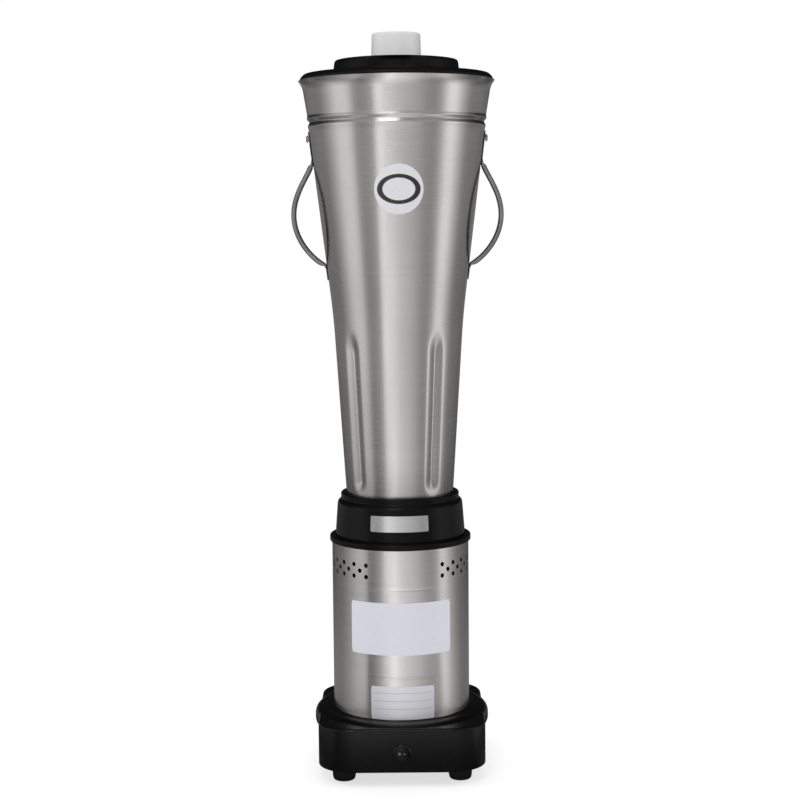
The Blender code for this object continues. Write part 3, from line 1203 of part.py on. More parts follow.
def make_capacitor():
    """Run capacitor that lies on the bottom cover, under its clip."""
    radius = CAPACITOR_RADIUS
    end = CAPACITOR_LENGTH / 2
    place_y = BASE_DEPTH / 2 - BASE_WALL - CAPACITOR_BACK_GAP
    centre = COVER_TOP + SEAT_GAP + radius
    profile = [(0.0, end), (radius - CAPACITOR_CHAMFER, end), (radius, end - CAPACITOR_CHAMFER),
               (radius, -end), (0.0, -end)]
    capacitor = turned("capacitor", profile, CAN, 12, closed=False)
    capacitor.location = (0.0, place_y, centre)
    capacitor.rotation_euler = (0.0, math.pi / 2, 0.0)
    inner = radius + SEAT_GAP
    outer = inner + CLIP_THICKNESS
    floor = -radius
    foot = floor + CLIP_THICKNESS
    foot_end = inner + CLIP_FOOT_LENGTH
    outline = [(foot_end, floor), (foot_end, foot), (outer, foot)]
    outline += arc((0.0, 0.0), outer, 0, 180, 8)
    outline += [(-outer, foot), (-foot_end, foot), (-foot_end, floor), (-inner, floor)]
    outline += arc((0.0, 0.0), inner, 180, 0, 8)
    outline.append((inner, floor))
    shape = bmesh.new()
    face = shape.faces.new([shape.verts.new((-CLIP_WIDTH / 2, y, z)) for y, z in outline])
    grown = bmesh.ops.extrude_face_region(shape, geom=[face])
    moved = [v for v in grown["geom"] if isinstance(v, bmesh.types.BMVert)]
    bmesh.ops.translate(shape, vec=(CLIP_WIDTH, 0.0, 0.0), verts=moved)
    bmesh.ops.recalc_face_normals(shape, faces=shape.faces)
    mesh = bpy.data.meshes.new("capacitor_clip")
    shape.to_mesh(mesh)
    shape.free()
    clip = add_part("capacitor_clip", mesh, DARK_STEEL)
    clip.location = (0.0, place_y, centre)


def main():
    clear_scene()
    make_collection(COLLECTION)
    make_collection(CUTTERS)
    rotor_unit = add_group("rotor_unit")
    jar_unit = add_group("jar_unit")
    blade_unit = add_group("blade_unit", parent=jar_unit)
    lid_unit = add_group("lid_unit", parent=jar_unit)
    cap_unit = add_group("cap_unit", parent=lid_unit)
    make_base()
    make_bottom_cover()
    make_feet()
    make_switch()
    make_cord_gland()
    make_capacitor()
    make_motor_housing()
    make_collar()
    make_brackets()
    make_stator()
    make_rotor(rotor_unit)
    make_couplings(rotor_unit, blade_unit)
    make_jar(jar_unit)
    make_handles(jar_unit)
    make_jar_bearing(jar_unit)
    make_blade(blade_unit)
    make_lid(lid_unit)
    make_cap(cap_unit)


main()
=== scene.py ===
import math

import bmesh
import bpy
from mathutils import Matrix, Vector


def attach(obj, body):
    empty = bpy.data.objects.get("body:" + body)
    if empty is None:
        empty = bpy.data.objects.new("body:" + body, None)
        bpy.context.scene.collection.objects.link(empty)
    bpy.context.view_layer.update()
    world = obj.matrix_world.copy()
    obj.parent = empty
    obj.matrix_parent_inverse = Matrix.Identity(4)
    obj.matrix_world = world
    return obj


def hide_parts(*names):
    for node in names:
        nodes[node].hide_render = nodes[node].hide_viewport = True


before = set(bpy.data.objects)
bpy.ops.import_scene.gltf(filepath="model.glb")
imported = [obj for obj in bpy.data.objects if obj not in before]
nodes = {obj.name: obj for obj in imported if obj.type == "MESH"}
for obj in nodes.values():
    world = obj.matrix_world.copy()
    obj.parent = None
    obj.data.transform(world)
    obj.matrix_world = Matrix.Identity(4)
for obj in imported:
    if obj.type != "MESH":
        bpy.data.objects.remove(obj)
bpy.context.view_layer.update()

MM = 0.001

# A point nearer to the axis than the first lies on it, points nearer to each other than the
# second are one, and the last is the smallest corner of a rounded square.
ON_AXIS = 1e-7
SAME_POINT = 1e-6
LEAST_CORNER = 0.5 * MM

# Levels and radii of the blender's pieces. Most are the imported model's. The rim, the bead, the
# rivets and the collar's shoulder and cone were measured again in the photograph.
FOOT_TOP = 17.2 * MM
BASE_BOTTOM = 17.5 * MM
BASE_TOP = 67.5 * MM
BULGE_TOP = 70.5 * MM
TUBE_BOTTOM = 70.8 * MM
TUBE_TOP = 268.2 * MM
FLANGE_BOTTOM = 264.3 * MM
FLANGE_TOP = 271.7 * MM
SHOULDER = 303.0 * MM
COLLAR_TOP = 321.2 * MM
CUP_FLOOR = 293.0 * MM
JAR_BOTTOM = 297.6 * MM
KNEE = 519.6 * MM
BAND_FOOT = 749.6 * MM
RIM_TOP = 788.8 * MM
LID_TOP = 796.8 * MM
CROWN_TOP = 812.5 * MM
CAP_TOP = 841.8 * MM

HOUSING_RADIUS = 79.0 * MM
BASE_WIDTH = 190.0 * MM
BASE_DEPTH = 204.0 * MM
BASE_CORNER = 41.0 * MM
BULGE_RADIUS = 101.0 * MM
FOOT_SPACING = 132.0 * MM
SWITCH_HEIGHT = 40.0 * MM
GLAND_HEIGHT = 36.0 * MM
JAR_WALL = 1.0 * MM
RIM_RADIUS = 111.1 * MM
BEAD_RADIUS = 100.9 * MM
KNEE_RADIUS = 73.9 * MM
JAR_FOOT_RADIUS = 60.2 * MM
RIVET_LEVEL = 724.6 * MM
SHOULDER_RADIUS = 72.6 * MM
CONE_RADIUS = 74.8 * MM
ROCKER_TILT = math.radians(-10.0)

# Camera of the photograph: metres in front of the axis and above the ground, degrees of pitch
# and roll, lens in millimetres and metres to the side
CAMERA_DISTANCE = 2.0
CAMERA_HEIGHT = 0.63
CAMERA_PITCH = 5.817
CAMERA_ROLL = 0.5
CAMERA_LENS = 78.52
CAMERA_OFFSET = 0.001


# Node writing

class Wire:
    """An output socket that takes part in sums; each sum adds its Math node."""

    def __init__(self, graph, socket):
        self.graph = graph
        self.socket = socket

    def other(self, name):
        """Another output of the same node."""
        return Wire(self.graph, self.socket.node.outputs[name])


def give_sum(name, operation):
    """Give wires an operator, for a wire on its left side and on its right side."""
    setattr(Wire, f"__{name}__", lambda self, other: self.graph.math(operation, self, other))
    setattr(Wire, f"__r{name}__", lambda self, other: self.graph.math(operation, other, self))


give_sum("add", "ADD")
give_sum("sub", "SUBTRACT")
give_sum("mul", "MULTIPLY")
give_sum("truediv", "DIVIDE")


class Graph:
    """A node tree of a material, of the world or of a shape while it is written."""

    def __init__(self, tree):
        self.tree = tree

    def node(self, kind, settings=None, inputs=None, output=0):
        """Add a node of a type: its settings first, then the values or links of its sockets."""
        made = self.tree.nodes.new(kind)
        for key, value in (settings or {}).items():
            if key == "stops":
                ramp = made.color_ramp
                while len(ramp.elements) < len(value):
                    ramp.elements.new(0.5)
                for stop, (place, colour) in zip(ramp.elements, value):
                    stop.position = place
                    stop.color = colour
            else:
                setattr(made, key, value)
        for key, value in (inputs or {}).items():
            socket = made.inputs[key]
            if isinstance(value, Wire):
                self.tree.links.new(value.socket, socket)
            else:
                socket.default_value = value
        return Wire(self, made.outputs[output]) if made.outputs else made

    def shape(self, kind, **inputs):
        """Add a geometry node. An underscore in an input's name stands for a space."""
        return self.node("GeometryNode" + kind, {}, {
            key.replace("_", " "): value for key, value in inputs.items()})

    def math(self, operation, *values):
        return self.node("ShaderNodeMath", {"operation": operation}, dict(enumerate(values)))

    def split(self, vector):
        """The X, Y and Z of a vector."""
        parts = self.node("ShaderNodeSeparateXYZ", {}, {0: vector})
        return parts, parts.other("Y"), parts.other("Z")

    def place(self, kind="Object"):
        """The X, Y and Z of the place on the piece in metres, or of another coordinate."""
        return self.split(self.node("ShaderNodeTexCoord", output=kind))

    def join(self, x, y, z):
        return self.node("ShaderNodeCombineXYZ", {}, {0: x, 1: y, 2: z})

    def ease(self, value, low, high, to_low=0.0, to_high=1.0, kind="SMOOTHSTEP"):
        """Map a value from one range to another."""
        return self.node("ShaderNodeMapRange", {"interpolation_type": kind}, {
            "Value": value, "From Min": low, "From Max": high,
            "To Min": to_low, "To Max": to_high})

    def blend(self, share, first, second):
        """Mix two colours."""
        return self.node("ShaderNodeMix", {"data_type": 'RGBA'},
                         {0: share, 6: first, 7: second}, output=2)

    def ease_angle(self, value, low, high, to_low=0.0, to_high=1.0):
        """Map an angle between two numbers of degrees to another range."""
        return self.ease(value, math.radians(low), math.radians(high), to_low, to_high)

    def from_front(self, x, y):
        """The angle round the axis, from the front."""
        return self.math("ARCTAN2", x, 0.0 - y)

    def ray_kinds(self):
        """Whether a ray is the camera's, and whether it was mirrored or let through."""
        rays = self.node("ShaderNodeLightPath")
        return rays, self.math(
            "MAXIMUM", rays.other("Is Glossy Ray"), rays.other("Is Transmission Ray"))

    def noise(self, scale, detail=3.0, stretch=(1.0, 1.0, 1.0)):
        """Noise over the place on the piece in metres, stretched along each axis."""
        place = self.node("ShaderNodeTexCoord", output="Object")
        stretched = self.node("ShaderNodeVectorMath", {"operation": 'MULTIPLY'},
                              {0: place, 1: stretch})
        return self.node("ShaderNodeTexNoise", {}, {
            "Vector": stretched, "Scale": scale, "Detail": detail, "Roughness": 0.5})


def grey(level, warmth=0.0, cool=0.0):
    """A grey with a little red or blue in it."""
    return (level * (1 + warmth), level, level * (1 - 0.4 * warmth + cool), 1.0)


# Materials

def start_material(name, **constants):
    """A material with its Principled shader's plain values set on the shader's own sockets."""
    material = bpy.data.materials.new(name)
    material.use_nodes = True
    tree = material.node_tree
    shader = tree.nodes["Principled BSDF"]
    for key, value in constants.items():
        shader.inputs[key.replace("_", " ")].default_value = value
    return material, Graph(tree), shader


def feed(graph, shader, **links):
    """Link values that change over the surface to the shader."""
    for key, wire in links.items():
        graph.tree.links.new(wire.socket, shader.inputs[key.replace("_", " ")])


def raise_by(graph, height, depth, strength=1.0):
    """A bump of a given depth in metres."""
    return graph.node("ShaderNodeBump", {}, {
        "Strength": strength, "Distance": depth, "Height": height}, output="Normal")


def brushed_steel(name, level=0.60, warmth=0.018, roughness=0.25, along=(14.0, 14.0, 2600.0),
                  anisotropy=0.9, streaks=0.5, painted_foot_shade=None):
    """Steel brushed round the axis: fine lines lie across Z, with faint stains over them.

    The last argument gives two heights: under the first the colour darkens as painted shade of
    the jar's foot, over the second it is left as it is.
    """
    material, graph, shader = start_material(
        name, Metallic=1.0, Anisotropic=anisotropy, Anisotropic_Rotation=0.25)
    fine = graph.noise(1.0, 2.0, along)
    broad = graph.noise(1.0, 3.0, (5.0, 5.0, 260.0))
    stain = graph.noise(1.0, 4.0, (9.0, 9.0, 5.0))
    lines = fine * 0.6 + broad * 0.4
    tone = graph.ease(lines, 0.3, 0.7, kind='LINEAR')
    colour = graph.blend(tone, grey(level * (1 - 0.10 * streaks), warmth),
                         grey(level * (1 + 0.08 * streaks), warmth))
    shaded = graph.blend(graph.ease(stain, 0.35, 0.75, 0.0, 0.35), colour,
                         grey(level * 0.86, warmth * 1.6))
    # Painted shade: between the given heights the colour darkens towards the jar's foot.
    if painted_foot_shade:
        foot_shade = graph.ease(graph.place()[2], *painted_foot_shade, 0.45, 0.0)
        shaded = graph.blend(foot_shade, shaded, grey(0.28, warmth))
    feed(graph, shader, Base_Color=shaded,
         Roughness=roughness + (lines - 0.5) * 0.16 + (stain - 0.5) * 0.10,
         Normal=raise_by(graph, lines, 0.00004, 0.35 * streaks + 0.1))
    return material


def plain_steel(name, level=0.34, roughness=0.36, grain=900.0, warmth=0.0):
    """Steel or cast metal with an even grain."""
    material, graph, shader = start_material(name, Metallic=1.0)
    grains = graph.noise(grain, 3.0)
    broad = graph.noise(45.0, 3.0)
    colour = graph.blend(graph.ease(broad, 0.3, 0.7), grey(level * 0.82, warmth),
                         grey(level * 1.08, warmth))
    feed(graph, shader, Base_Color=colour,
         Roughness=roughness + (grains - 0.5) * 0.14 + (broad - 0.5) * 0.16,
         Normal=raise_by(graph, grains, 0.00003, 0.4))
    return material


def moulding(name, level=0.006, roughness=0.30, grain=1500.0, depth=0.00003, gloss=0.2, dust=0.25,
             warmth=0.0):
    """Moulded plastic or rubber: a fine skin, faint smears and a little dust on it."""
    material, graph, shader = start_material(name, Metallic=0.0, Specular_IOR_Level=gloss)
    skin = graph.noise(grain, 2.0)
    smear = graph.noise(60.0, 4.0, (1.0, 1.0, 0.4))
    speck = graph.noise(700.0, 1.0)
    dusty = graph.ease(speck, 0.62, 0.75, 0.0, dust) * graph.ease(smear, 0.4, 0.7)
    colour = graph.blend(dusty, grey(level, warmth), grey(min(0.8, level * 1.8 + 0.02), warmth))
    feed(graph, shader, Base_Color=colour,
         Roughness=roughness + (smear - 0.5) * 0.16 + dusty * 0.2,
         Normal=raise_by(graph, skin, depth, 0.5))
    return material


def layered_metal(name, metallic, waves, scale, dark, light, roughness, depth, strength):
    """Thin layers one above the other: sheets of iron, or turns of varnished wire."""
    material, graph, shader = start_material(name, Metallic=metallic)
    layers = graph.math("SINE", graph.place()[2] * waves)
    stain = graph.noise(scale)
    feed(graph, shader, Base_Color=graph.blend(stain, dark, light),
         Roughness=roughness + stain * 0.2, Normal=raise_by(graph, layers, depth, strength))
    return material


def bronze(name):
    material, graph, shader = start_material(name, Metallic=1.0)
    pores = graph.noise(1800.0, 2.0)
    feed(graph, shader, Base_Color=graph.blend(pores, (0.40, 0.25, 0.11, 1),
        (0.60, 0.40, 0.19, 1)), Roughness=0.34 + (pores - 0.5) * 0.2,
        Normal=raise_by(graph, pores, 0.00003, 0.5))
    return material


def label_stock(name, level=0.78, roughness=0.28, metallic=0.0, cool=0.0):
    """Smooth sticker with a faint unevenness from the hand that put it on."""
    material, graph, shader = start_material(name, Metallic=metallic)
    wave = graph.noise(55.0, 2.0)
    fibre = graph.noise(2500.0, 1.0)
    feed(graph, shader,
         Base_Color=graph.blend(wave, grey(level * 0.98, 0.0, cool), grey(level, 0.0, cool)),
         Roughness=roughness + (wave - 0.5) * 0.12,
         Normal=raise_by(graph, wave + fibre * 0.03, 0.0002, 0.25))
    return material


MATERIALS = {
    # The jar's steel darkens towards its foot as painted shade.
    "jar_steel": brushed_steel("jar_steel", 0.62, 0.028, streaks=0.35,
                               painted_foot_shade=(318.0 * MM, 372.0 * MM)),
    "housing_steel": brushed_steel("housing_steel", 0.62, 0.03, 0.24, streaks=0.45),
    "handle_steel": plain_steel("handle_steel", 0.28, 0.36),
    "screw_steel": plain_steel("screw_steel", 0.42, 0.32),
    "blade_steel": plain_steel("blade_steel", 0.55, 0.22),
    "cast_aluminium": plain_steel("cast_aluminium", 0.52, 0.48, 1400.0),
    "base_black": moulding("base_black", 0.003, 0.22, 1600.0, 0.00002),
    "collar_black": moulding("collar_black", 0.003, 0.25, 1200.0, 0.00002, 0.12, 0.1),
    "lid_rubber": moulding("lid_rubber", 0.003, 0.36, 1000.0, 0.00003, 0.15),
    "foot_rubber": moulding("foot_rubber", 0.006, 0.55, 900.0, 0.00005, dust=0.5),
    "switch_black": moulding("switch_black", 0.004, 0.20, 1600.0, 0.00001, 0.35),
    "cap_white": moulding("cap_white", 0.66, 0.36, 1100.0, 0.00002, 0.5, 0.1, 0.01),
    "nylon": moulding("nylon", 0.035, 0.42, 900.0, 0.00004, 0.5),
    "capacitor_grey": moulding("capacitor_grey", 0.42, 0.38, 900.0, 0.00002, 0.5, 0.1),
    "mark_white": moulding("mark_white", 0.20, 0.45, 900.0, 0.00001, 0.5, 0.05),
    "bronze": bronze("bronze"),
    "winding": layered_metal("winding", 0.6, 6000.0, 80.0, (0.36, 0.13, 0.05, 1),
                             (0.62, 0.27, 0.12, 1), 0.35, 0.0003, 0.6),
    "stack_iron": layered_metal("stack_iron", 1.0, 9000.0, 120.0, grey(0.13), grey(0.24), 0.45,
                                0.00015, 0.7),
    "white_label": label_stock("white_label", 0.62, cool=0.10),
    "sticker_white": label_stock("sticker_white", 0.63, cool=0.05),
    "silver_label": label_stock("silver_label", 0.62, 0.33, 0.25, 0.07),
    "label_ink": label_stock("label_ink", 0.018, 0.4),
    "grey_ink": label_stock("grey_ink", 0.30, 0.4),
    "metal_plate": brushed_steel("metal_plate", 0.62, 0.01, 0.30, (2600.0, 14.0, 14.0), 0.4, 0.4),
}

CAD_FINISH = {
    "cast_aluminium": ("lower_bracket", "upper_bracket", "bearing_housing", "collar_post_1",
                       "collar_post_2", "collar_post_3"),
    "screw_steel": ("capacitor_clip", "lower_bearing", "upper_bearing", "tie_bolt_1", "tie_bolt_2",
                    "tie_bolt_3", "tie_bolt_4", "motor_shaft"),
    "blade_steel": ("blade_shaft",),
    "lid_rubber": ("shaft_seal",),
    "bronze": ("lower_bush", "upper_bush"),
    "stack_iron": ("stator", "rotor"),
    "winding": ("lower_winding", "upper_winding"),
    "nylon": ("fan", "drive_coupling", "driven_coupling"),
    "capacitor_grey": ("capacitor",),
}


# Meshes

def linked(name, data):
    """A new object in the scene."""
    obj = bpy.data.objects.new(name, data)
    bpy.context.scene.collection.objects.link(obj)
    return obj


def point_mesh(name, points, faces):
    """A mesh from its points and faces."""
    mesh = bpy.data.meshes.new(name)
    mesh.from_pydata(points, [], faces)
    mesh.update()
    return mesh


def mesh_from(name, shape):
    """A mesh from a bmesh, which is freed."""
    mesh = bpy.data.meshes.new(name)
    shape.to_mesh(mesh)
    shape.free()
    return mesh


def outward(mesh, merge=0.0):
    """Turn a mesh's faces outwards, after points that lie together are merged."""
    shape = bmesh.new()
    shape.from_mesh(mesh)
    if merge:
        bmesh.ops.remove_doubles(shape, verts=shape.verts, dist=merge)
    bmesh.ops.recalc_face_normals(shape, faces=shape.faces)
    shape.to_mesh(mesh)
    shape.free()
    return mesh


def stood(place, angle, axis='X'):
    """The matrix that turns a piece about an axis and moves it to its place."""
    return Matrix.Translation(place) @ Matrix.Rotation(angle, 4, axis)


def add_rod(shape, radius, depth, segments, matrix=Matrix.Identity(4)):
    """Add a closed rod to a bmesh."""
    bmesh.ops.create_cone(shape, cap_ends=True, segments=segments, radius1=radius,
                          radius2=radius, depth=depth, matrix=matrix)


def add_block(shape, size, matrix):
    """Add a closed block to a bmesh."""
    bmesh.ops.create_cube(shape, size=1.0, matrix=matrix @ Matrix.Diagonal((*size, 1.0)))


def rounded_line(corners, steps=5, closed=False):
    """A line of (radius, height) points. A corner's third number is its rounding's reach."""
    count = len(corners)
    line = []
    for i, corner in enumerate(corners):
        here = Vector(corner[:2])
        reach = corner[2] if len(corner) > 2 else 0.0
        if reach == 0.0 or (not closed and i in (0, count - 1)):
            line.append(tuple(here))
            continue
        before = Vector(corners[i - 1][:2]) - here
        after = Vector(corners[(i + 1) % count][:2]) - here
        reach = min(reach, 0.49 * before.length, 0.49 * after.length)
        start = here + before.normalized() * reach
        end = here + after.normalized() * reach
        for step in range(steps + 1):
            share = step / steps
            line.append(tuple(start * (1 - share) ** 2 + here * 2 * share * (1 - share)
                              + end * share ** 2))
    return line


def divided(line, longest, closed=False):
    """The same line with no stretch longer than a given length."""
    ends = line[1:] + (line[:1] if closed else [])
    result = []
    for start, end in zip(line, ends):
        parts = max(1, math.ceil(math.dist(start, end) / longest))
        for i in range(parts):
            share = i / parts
            result.append((start[0] + (end[0] - start[0]) * share,
                           start[1] + (end[1] - start[1]) * share))
    if not closed:
        result.append(line[-1])
    return result


def turned_mesh(name, line, steps, closed=True):
    """A mesh turned about Z. The line runs down the outside, and up the bore."""
    points = []
    rings = []
    for radius, height in line:
        if radius < ON_AXIS:
            rings.append([len(points)] * steps)
            points.append((0.0, 0.0, height))
            continue
        rings.append(list(range(len(points), len(points) + steps)))
        for i in range(steps):
            angle = math.tau * i / steps
            points.append((radius * math.cos(angle), radius * math.sin(angle), height))
    faces = []
    for upper, lower in zip(rings, rings[1:] + (rings[:1] if closed else [])):
        for i in range(steps):
            j = (i + 1) % steps
            corners = list(dict.fromkeys((upper[i], lower[i], lower[j], upper[j])))
            if len(corners) > 2:
                faces.append(corners)
    return point_mesh(name, points, faces)


def smooth(mesh, degrees=38.0):
    """Shade a mesh smooth, with edges over an angle kept sharp."""
    mesh.shade_smooth()
    mesh.set_sharp_from_angle(angle=math.radians(degrees))
    return mesh


def add_piece(name, mesh, body, finish, replaced=()):
    """Put a finished mesh into the scene, on its body and in place of its CAD nodes."""
    obj = linked(name, mesh)
    if finish:
        mesh.materials.clear()
        mesh.materials.append(MATERIALS[finish])
    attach(obj, body)
    if replaced:
        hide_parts(*replaced)


def shifted(mesh, matrix):
    """Move a mesh's points by a matrix."""
    mesh.transform(matrix)
    mesh.update()
    return mesh


def joined_mesh(name, meshes):
    """One mesh from several."""
    shape = bmesh.new()
    for mesh in meshes:
        shape.from_mesh(mesh)
        bpy.data.meshes.remove(mesh)
    return mesh_from(name, shape)


def finished(mesh, modifiers, degrees=38.0):
    """Apply modifiers to a mesh. Each is a type and its settings."""
    obj = linked(mesh.name, smooth(mesh, degrees))
    for kind, settings in modifiers:
        modifier = obj.modifiers.new(kind, kind)
        for key, value in settings.items():
            setattr(modifier, key, value)
    graph = bpy.context.evaluated_depsgraph_get()
    result = bpy.data.meshes.new_from_object(obj.evaluated_get(graph))
    bpy.data.objects.remove(obj)
    return result


FLAT_KEPT = ('WEIGHTED_NORMAL', {"keep_sharp": True, "weight": 60})


def cut(mesh, tool_mesh, operation='DIFFERENCE', degrees=38.0):
    """Cut or join a mesh with another, with flat faces left flat."""
    tool = linked("tool", tool_mesh)
    settings = {"object": tool, "operation": operation, "solver": 'EXACT'}
    result = finished(mesh, [('BOOLEAN', settings)])
    bpy.data.objects.remove(tool)
    return finished(result, [FLAT_KEPT], degrees)


def rounded_square(width, depth, corner, points_per_corner=16):
    """Outline of a rounded square as (x, y) points, anticlockwise."""
    outline = []
    centres = ((1, 1, 0), (-1, 1, 90), (-1, -1, 180), (1, -1, 270))
    for sign_x, sign_y, start in centres:
        for i in range(points_per_corner + 1):
            angle = math.radians(start + 90.0 * i / points_per_corner)
            outline.append((sign_x * (width / 2 - corner) + corner * math.cos(angle),
                            sign_y * (depth / 2 - corner) + corner * math.sin(angle)))
    return outline


def stacked_mesh(name, width, depth, corner, levels):
    """A closed block of rounded squares. Each level is (inset, height), from the top down."""
    points = []
    for inset, height in levels:
        outline = rounded_square(width - 2 * inset, depth - 2 * inset,
                                 max(corner - inset, LEAST_CORNER))
        points += [(x, y, height) for x, y in outline]
    count = len(points) // len(levels)
    last = len(points) - count
    faces = [(upper + i, upper + count + i, upper + count + (i + 1) % count,
              upper + (i + 1) % count)
             for upper in range(0, last, count) for i in range(count)]
    faces.append(list(range(count)))
    faces.append([last + i for i in reversed(range(count))])
    return point_mesh(name, points, faces)


def swept_mesh(name, sections):
    """A closed mesh skinned over a row of sections."""
    count = len(sections[0])
    last = (len(sections) - 1) * count
    faces = [(near + i, near + (i + 1) % count, near + count + (i + 1) % count, near + count + i)
             for near in range(0, last, count) for i in range(count)]
    faces.append(list(range(count)))
    faces.append(list(range(last, last + count)))
    return outward(point_mesh(name, [point for section in sections for point in section], faces))


def looped_mesh(name, loops, merge=0.0):
    """A closed mesh over a row of loops, with the last joined to the first."""
    count = len(loops[0])
    total = len(loops) * count
    faces = [(here + i, here + (i + 1) % count, (here + count) % total + (i + 1) % count,
              (here + count) % total + i)
             for here in range(0, total, count) for i in range(count)]
    return outward(point_mesh(name, [point for loop in loops for point in loop], faces), merge)


def flattened(mesh, over, across):
    """Give a turned mesh six flats, where it reaches past a radius."""
    for vertex in mesh.vertices:
        x, y, z = vertex.co
        radius = math.hypot(x, y)
        if radius > over:
            turn = (math.atan2(y, x) + math.pi / 6) % (math.pi / 3) - math.pi / 6
            share = min(radius, across / math.cos(turn)) / radius
            vertex.co = (x * share, y * share, z)
    return smooth(mesh, 30.0)


# Shapes that follow a rule, as Geometry Nodes

SOCKET_KINDS = {int: "NodeSocketInt", float: "NodeSocketFloat"}


def start_shape(name, sizes):
    """A Geometry Nodes tree with a named input for each size and for the material."""
    tree = bpy.data.node_groups.new(name, "GeometryNodeTree")
    tree.interface.new_socket("Geometry", in_out='INPUT', socket_type="NodeSocketGeometry")
    for label, value in sizes.items():
        tree.interface.new_socket(label, in_out='INPUT', socket_type=SOCKET_KINDS[type(value)])
    tree.interface.new_socket("Finish", in_out='INPUT', socket_type="NodeSocketMaterial")
    tree.interface.new_socket("Geometry", in_out='OUTPUT', socket_type="NodeSocketGeometry")
    graph = Graph(tree)
    entry = tree.nodes.new("NodeGroupInput")
    return graph, {socket.name: Wire(graph, socket) for socket in entry.outputs if socket.name}


def end_shape(graph, geometry, given):
    """Close a tree with Realize Instances and Set Material."""
    real = graph.shape("RealizeInstances", Geometry=geometry)
    dressed = graph.shape("SetMaterial", Geometry=real, Material=given["Finish"])
    graph.node("NodeGroupOutput", {}, {"Geometry": dressed})
    return graph.tree


def holed(graph, given, drills):
    """Cut drills out of what a tree was given, and close the tree."""
    real = graph.shape("RealizeInstances", Geometry=drills)
    left = graph.node("GeometryNodeMeshBoolean", {"operation": 'DIFFERENCE', "solver": 'EXACT'},
                      {"Mesh 1": given["Geometry"], "Mesh 2": real})
    return end_shape(graph, left, given)


def grow(tree, mesh, sizes, finish):
    """Run a tree on a mesh with its sizes, and return the plain mesh."""
    obj = linked(tree.name, mesh)
    modifier = obj.modifiers.new(tree.name, 'NODES')
    modifier.node_group = tree
    identifiers = {item.name: item.identifier for item in tree.interface.items_tree
                   if item.in_out == 'INPUT'}
    for label, value in sizes.items():
        modifier[identifiers[label]] = value
    modifier[identifiers["Finish"]] = MATERIALS[finish]
    graph = bpy.context.evaluated_depsgraph_get()
    result = bpy.data.meshes.new_from_object(obj.evaluated_get(graph))
    result.name = tree.name
    obj.modifiers.clear()
    bpy.data.objects.remove(obj)
    return result


FLUTE_SIZES = {
    "Count": 4, "First angle": math.radians(-50.1), "Front": math.radians(-95.1),
    "Pinch": math.radians(3.6), "Foot": 337.0 * MM, "Top": 485.0 * MM,
    "Foot half width": 10.2 * MM, "Top half width": 10.8 * MM, "Depth": 3.9 * MM,
    "Top ease": 0.50, "Foot ease": 0.95, "Rounding": 0.7 * MM, "Lip softness": 0.20,
}


def flute_shape():
    """Presses flutes into a turned shell: each is a groove with a round foot and a pointed top."""
    graph, given = start_shape("flutes", FLUTE_SIZES)
    x, y, z = graph.split(graph.shape("InputPosition"))
    radius = graph.math("SQRT", x * x + y * y)
    pitch = math.tau / given["Count"]
    angle = graph.math("ARCTAN2", y, x)
    # The flutes stand a little nearer to each other at the front and back than at the sides.
    pinched = angle + given["Pinch"] * graph.math("SINE", (angle - given["Front"]) * 2.0)
    offset = graph.math("WRAP", pinched - given["First angle"], pitch / 2, pitch / -2)
    above = graph.math("MAXIMUM", z - given["Top"], 0.0) * given["Top ease"]
    below = graph.math("MAXIMUM", given["Foot"] - z, 0.0) * given["Foot ease"]
    beside = offset * radius
    away = graph.math("SQRT", beside * beside + above * above + below * below
                      + given["Rounding"] * given["Rounding"])
    half_width = graph.ease(z, given["Foot"], given["Top"], given["Foot half width"],
                            given["Top half width"], 'LINEAR')
    inward = 1.0 - away / half_width
    # A straight wall with a soft lip: a smooth stand-in for the greater of the two, inward and 0.
    soft = graph.math("SQRT", inward * inward + given["Lip softness"] * given["Lip softness"])
    press = given["Depth"] * (inward + soft) * 0.5
    share = 1.0 - press / graph.math("MAXIMUM", radius, 0.001)
    moved = graph.shape("SetPosition", Geometry=given["Geometry"],
                        Position=graph.join(x * share, y * share, z))
    return end_shape(graph, moved, given)


VENT_SIZES = {
    "Columns": 5, "First column": math.radians(33.0), "Column pitch": math.radians(12.4),
    "Turn": math.radians(3.5 - 90.0), "Middle row": 240.0 * MM, "Row pitch": 6.5 * MM,
    "Hole radius": 2.6 * MM, "Tube radius": HOUSING_RADIUS, "Cut length": 8.0 * MM,
}


def vent_shape():
    """Cuts two groups of staggered round holes through a tube."""
    graph, given = start_shape("vents", VENT_SIZES)
    rows = 3
    count = given["Columns"] * rows * 2
    points = graph.shape("Points", Count=count)
    number = graph.shape("InputIndex")
    group_size = given["Columns"] * rows
    group = graph.math("FLOOR", number / group_size + 0.0001)
    inside = number - group * group_size
    row = graph.math("FLOOR", inside / given["Columns"] + 0.0001)
    column = inside - row * given["Columns"]
    level = row - 1.0
    middle = 1.0 - graph.math("ABSOLUTE", level)
    side = group * 2.0 - 1.0
    angle = given["Turn"] + side * (given["First column"]
                                    + given["Column pitch"] * (column + middle * 0.5))
    place = graph.join(given["Tube radius"] * graph.math("COSINE", angle),
                       given["Tube radius"] * graph.math("SINE", angle),
                       given["Middle row"] + level * given["Row pitch"])
    placed = graph.shape("SetPosition", Geometry=points, Position=place)
    spare = middle * graph.math("GREATER_THAN", column, given["Columns"] - 1.5)
    kept = graph.node("GeometryNodeDeleteGeometry", {"domain": 'POINT'}, {
        "Geometry": placed, "Selection": graph.math("GREATER_THAN", spare, 0.5)})
    drill = graph.shape("MeshCylinder", Vertices=20, Radius=given["Hole radius"],
                        Depth=given["Cut length"])
    # The angle is kept with each point, because deleting some of them renumbers the rest.
    x, y, z = graph.split(graph.shape("InputPosition"))
    turn = graph.join(0.0, math.pi / 2, graph.math("ARCTAN2", y, x))
    drills = graph.shape("InstanceOnPoints", Points=kept, Instance=drill, Rotation=turn)
    return holed(graph, given, drills)


